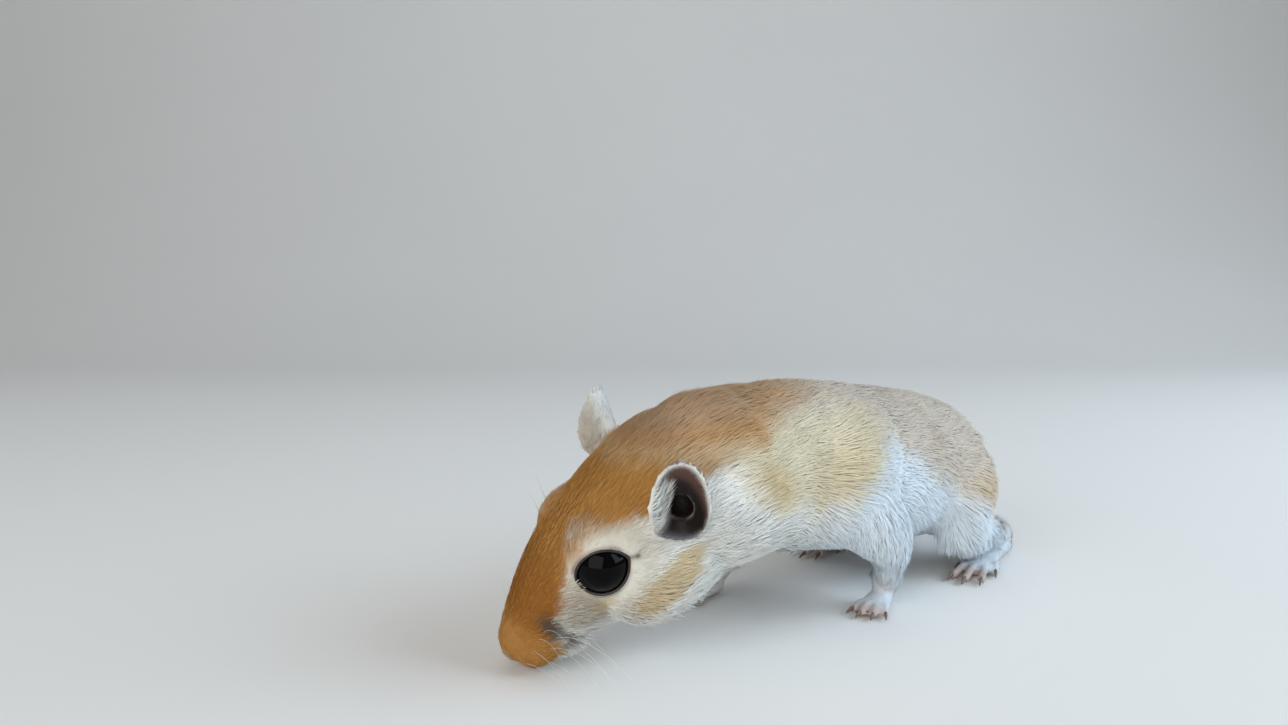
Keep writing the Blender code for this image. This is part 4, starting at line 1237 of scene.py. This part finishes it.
def whiskers(surface, body):
    """Long bristles of the muzzle and a few over the eyes, in one mesh."""
    chance = np.random.default_rng(SEED + 3)
    tree = tree_of(*arrays_of(surface.mesh))
    steps, sides = 14, 4
    parts, run = [], []
    rows = [(4.4, -16.5, -5.4), (5.0, -15.0, -4.2), (5.6, -13.6, -3.4), (5.2, -14.6, -6.4), (5.8, -13.0, -5.6)]
    rows += [(6.3, -11.6, -4.6), (5.4, -14.0, -8.0), (6.0, -12.2, -7.4), (6.6, -10.6, -6.6), (3.6, -17.6, -6.8)]
    rows += [(4.6, -16.0, -7.4), (5.0, -13.6, -9.2), (5.9, -11.2, -9.0)]
    starts = [(side * x, y, z) for side in (1, -1) for x, y, z in rows]
    brows = [(side * x, y, z) for side in (1, -1) for x, y, z in ((7.6, -3.0, 6.4), (8.2, -0.4, 7.2))]
    for k, start in enumerate(starts + brows):
        spot = tree.find_nearest(Vector(from_head(start)))
        root = np.array(spot[0])
        side = np.sign(start[0])
        brow = k >= len(starts)
        length = chance.uniform(6, 9) if brow else chance.uniform(9, 15)
        out = np.array([side * 0.95, 0.45 + chance.normal(0, 0.12), 0.20 + 0.10 * (start[2] + 6)])
        lift = np.array([0.0, 0.5, 0.6]) if brow else np.array([0.0, 0.0, chance.normal(0, 0.12)])
        ahead = HEAD_AXES @ unit(out + lift)
        sag = np.array([0.0, 0.0, -1.0])
        ts = np.linspace(0, 1, steps)[:, None]
        course = root + (ahead * ts + sag * ts**2 * (0.15 if brow else 0.42)) * length * MM
        course[:, 2] = np.maximum(course[:, 2], (0.25 + 0.5 * ts[:, 0]) * MM)
        course[0] = root - ahead * 0.3 * MM
        radius = (0.048 - 0.040 * ts[:, 0]) * MM
        along = unit(np.gradient(course, axis=0))
        across = unit(np.cross(along, np.array([0.1, 0.2, 1.0])))
        over = np.cross(across, along)
        turn = np.linspace(0, 2 * math.pi, sides, endpoint=False)
        ring = across[:, None] * np.cos(turn)[None, :, None] + over[:, None] * np.sin(turn)[None, :, None]
        points = (course[:, None] + ring * radius[:, None, None]).reshape(-1, 3)
        faces = []
        for i in range(steps - 1):
            for s in range(sides):
                t = (s + 1) % sides
                faces.append((sides * i + s, sides * i + t, sides * (i + 1) + t, sides * (i + 1) + s))
        last = sides * (steps - 1)
        faces += [(3, 2, 1, 0), (last, last + 1, last + 2, last + 3)]
        parts.append((points, np.array(faces)))
        run.append(np.repeat(ts[:, 0], sides))
    points, faces = joined(parts)
    mesh = array_mesh("whiskers", points, faces)
    along = np.concatenate(run)
    set_vectors(mesh, "strand", np.column_stack([along, along * 0 + 0.5, along * 0 + 0.5]))
    obj = add_object("whiskers", mesh, whisker_material())
    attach(obj, body)


def claws(body):
    points, faces = claw_forms()
    obj = add_object("claws", array_mesh("claws", points, faces), claw_material())
    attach(obj, body)


# Camera, light and floor -----

PITCH = math.radians(5)
ROW_TURN = math.radians(38.5)
FOCAL_PIXELS = 973.0
FRAME_PIXELS = 1288.0
SENSOR_WIDTH = 36.0
CAMERA_IN_TRUNK = (87.77, -166.57, 63.0)


def camera():
    """The photograph's view: a little above the animal, in front of its left shoulder."""
    data = bpy.data.cameras.new("camera")
    data.sensor_width = SENSOR_WIDTH
    data.lens = SENSOR_WIDTH * FOCAL_PIXELS / FRAME_PIXELS
    data.clip_start = 0.01
    obj = bpy.data.objects.new("camera", data)
    bpy.context.scene.collection.objects.link(obj)
    turn = np.array(Matrix.Rotation(ROW_TURN, 3, "Z"))
    right = turn @ np.array([1.0, 0.0, 0.0])
    ahead = turn @ np.array([0.0, math.cos(PITCH), -math.sin(PITCH)])
    up = np.cross(right, ahead)
    matrix = Matrix([list(row) for row in np.column_stack([right, up, -ahead])]).to_4x4()
    matrix.translation = Vector(from_trunk(CAMERA_IN_TRUNK))
    obj.matrix_world = matrix
    bpy.context.scene.camera = obj
    return right, ahead


def area_light(name, place, target, size, power, colour):
    data = bpy.data.lights.new(name, "AREA")
    data.shape = "RECTANGLE"
    data.size, data.size_y = size
    data.energy = power
    data.color = colour
    obj = bpy.data.objects.new(name, data)
    bpy.context.scene.collection.objects.link(obj)
    obj.location = Vector(place)
    obj.rotation_mode = "QUATERNION"
    obj.rotation_quaternion = (Vector(target) - Vector(place)).to_track_quat("-Z", "Y")


def studio(right, ahead):
    """A pale floor that curves up behind, soft daylight from the back right and a soft front light."""
    middle_spot = from_trunk((0.0, -5.0, 20.0))
    flat = unit(np.array([ahead[0], ahead[1], 0.0]))
    bend = [(0.5 + 0.5 * math.sin(a), 0.5 - 0.5 * math.cos(a)) for a in np.linspace(0.12, math.pi / 2, 14)]
    sweep = [(-1.6, 0.0), (0.5, 0.0)] + bend + [(1.0, 2.5)]
    foot = np.array([middle_spot[0], middle_spot[1], 0.0])
    points, faces = [], []
    for reach, height in sweep:
        for across in (-3.0, 3.0):
            points.append(foot + flat * reach + right * across + np.array([0, 0, height]))
    for k in range(len(sweep) - 1):
        faces.append((2 * k, 2 * k + 1, 2 * k + 3, 2 * k + 2))
    mesh = array_mesh("floor", np.array(points), np.array(faces))
    paint = Paint("floor")
    place = paint.node("ShaderNodeTexCoord", {}, (), "Object")
    grain = paint.noise(place, 6.0, 3.0)
    colour = paint.mix(grain, (0.84, 0.83, 0.81), (0.88, 0.87, 0.85))
    floor = add_object("floor", mesh, paint.finish(Base_Color=colour, Roughness=0.9))

    def at(r, a, h):
        return middle_spot + right * r + flat * a + np.array([0, 0, h])

    area_light("window", at(0.65, -0.12, 0.36), middle_spot, (0.7, 0.5), 5.0, (0.68, 0.85, 1.0))
    area_light("front", at(-0.35, -0.75, 0.30), middle_spot, (0.9, 0.7), 5.0, (1.0, 0.97, 0.91))
    area_light("above", at(-0.10, 0.05, 0.95), middle_spot, (0.9, 0.9), 1.3, (1.0, 0.98, 0.95))
    world = bpy.data.worlds.new("room")
    bpy.context.scene.world = world
    world.use_nodes = True
    back = world.node_tree.nodes["Background"]
    back.inputs["Color"].default_value = (0.92, 0.95, 1.0, 1.0)
    back.inputs["Strength"].default_value = 0.22
    bpy.context.scene.view_settings.view_transform = "Standard"


def main():
    body = "root"
    surface = Surface()
    surface.fuse()
    surface.shape()
    normals = surface.flows()
    kind, tint = kinds_of(surface, normals)
    skin_piece(surface, kind, tint, body)
    coat(surface, normals, kind, tint, coat_material(), body)
    eye_pieces(body)
    claws(body)
    whiskers(surface, body)
    studio(*camera())


main()
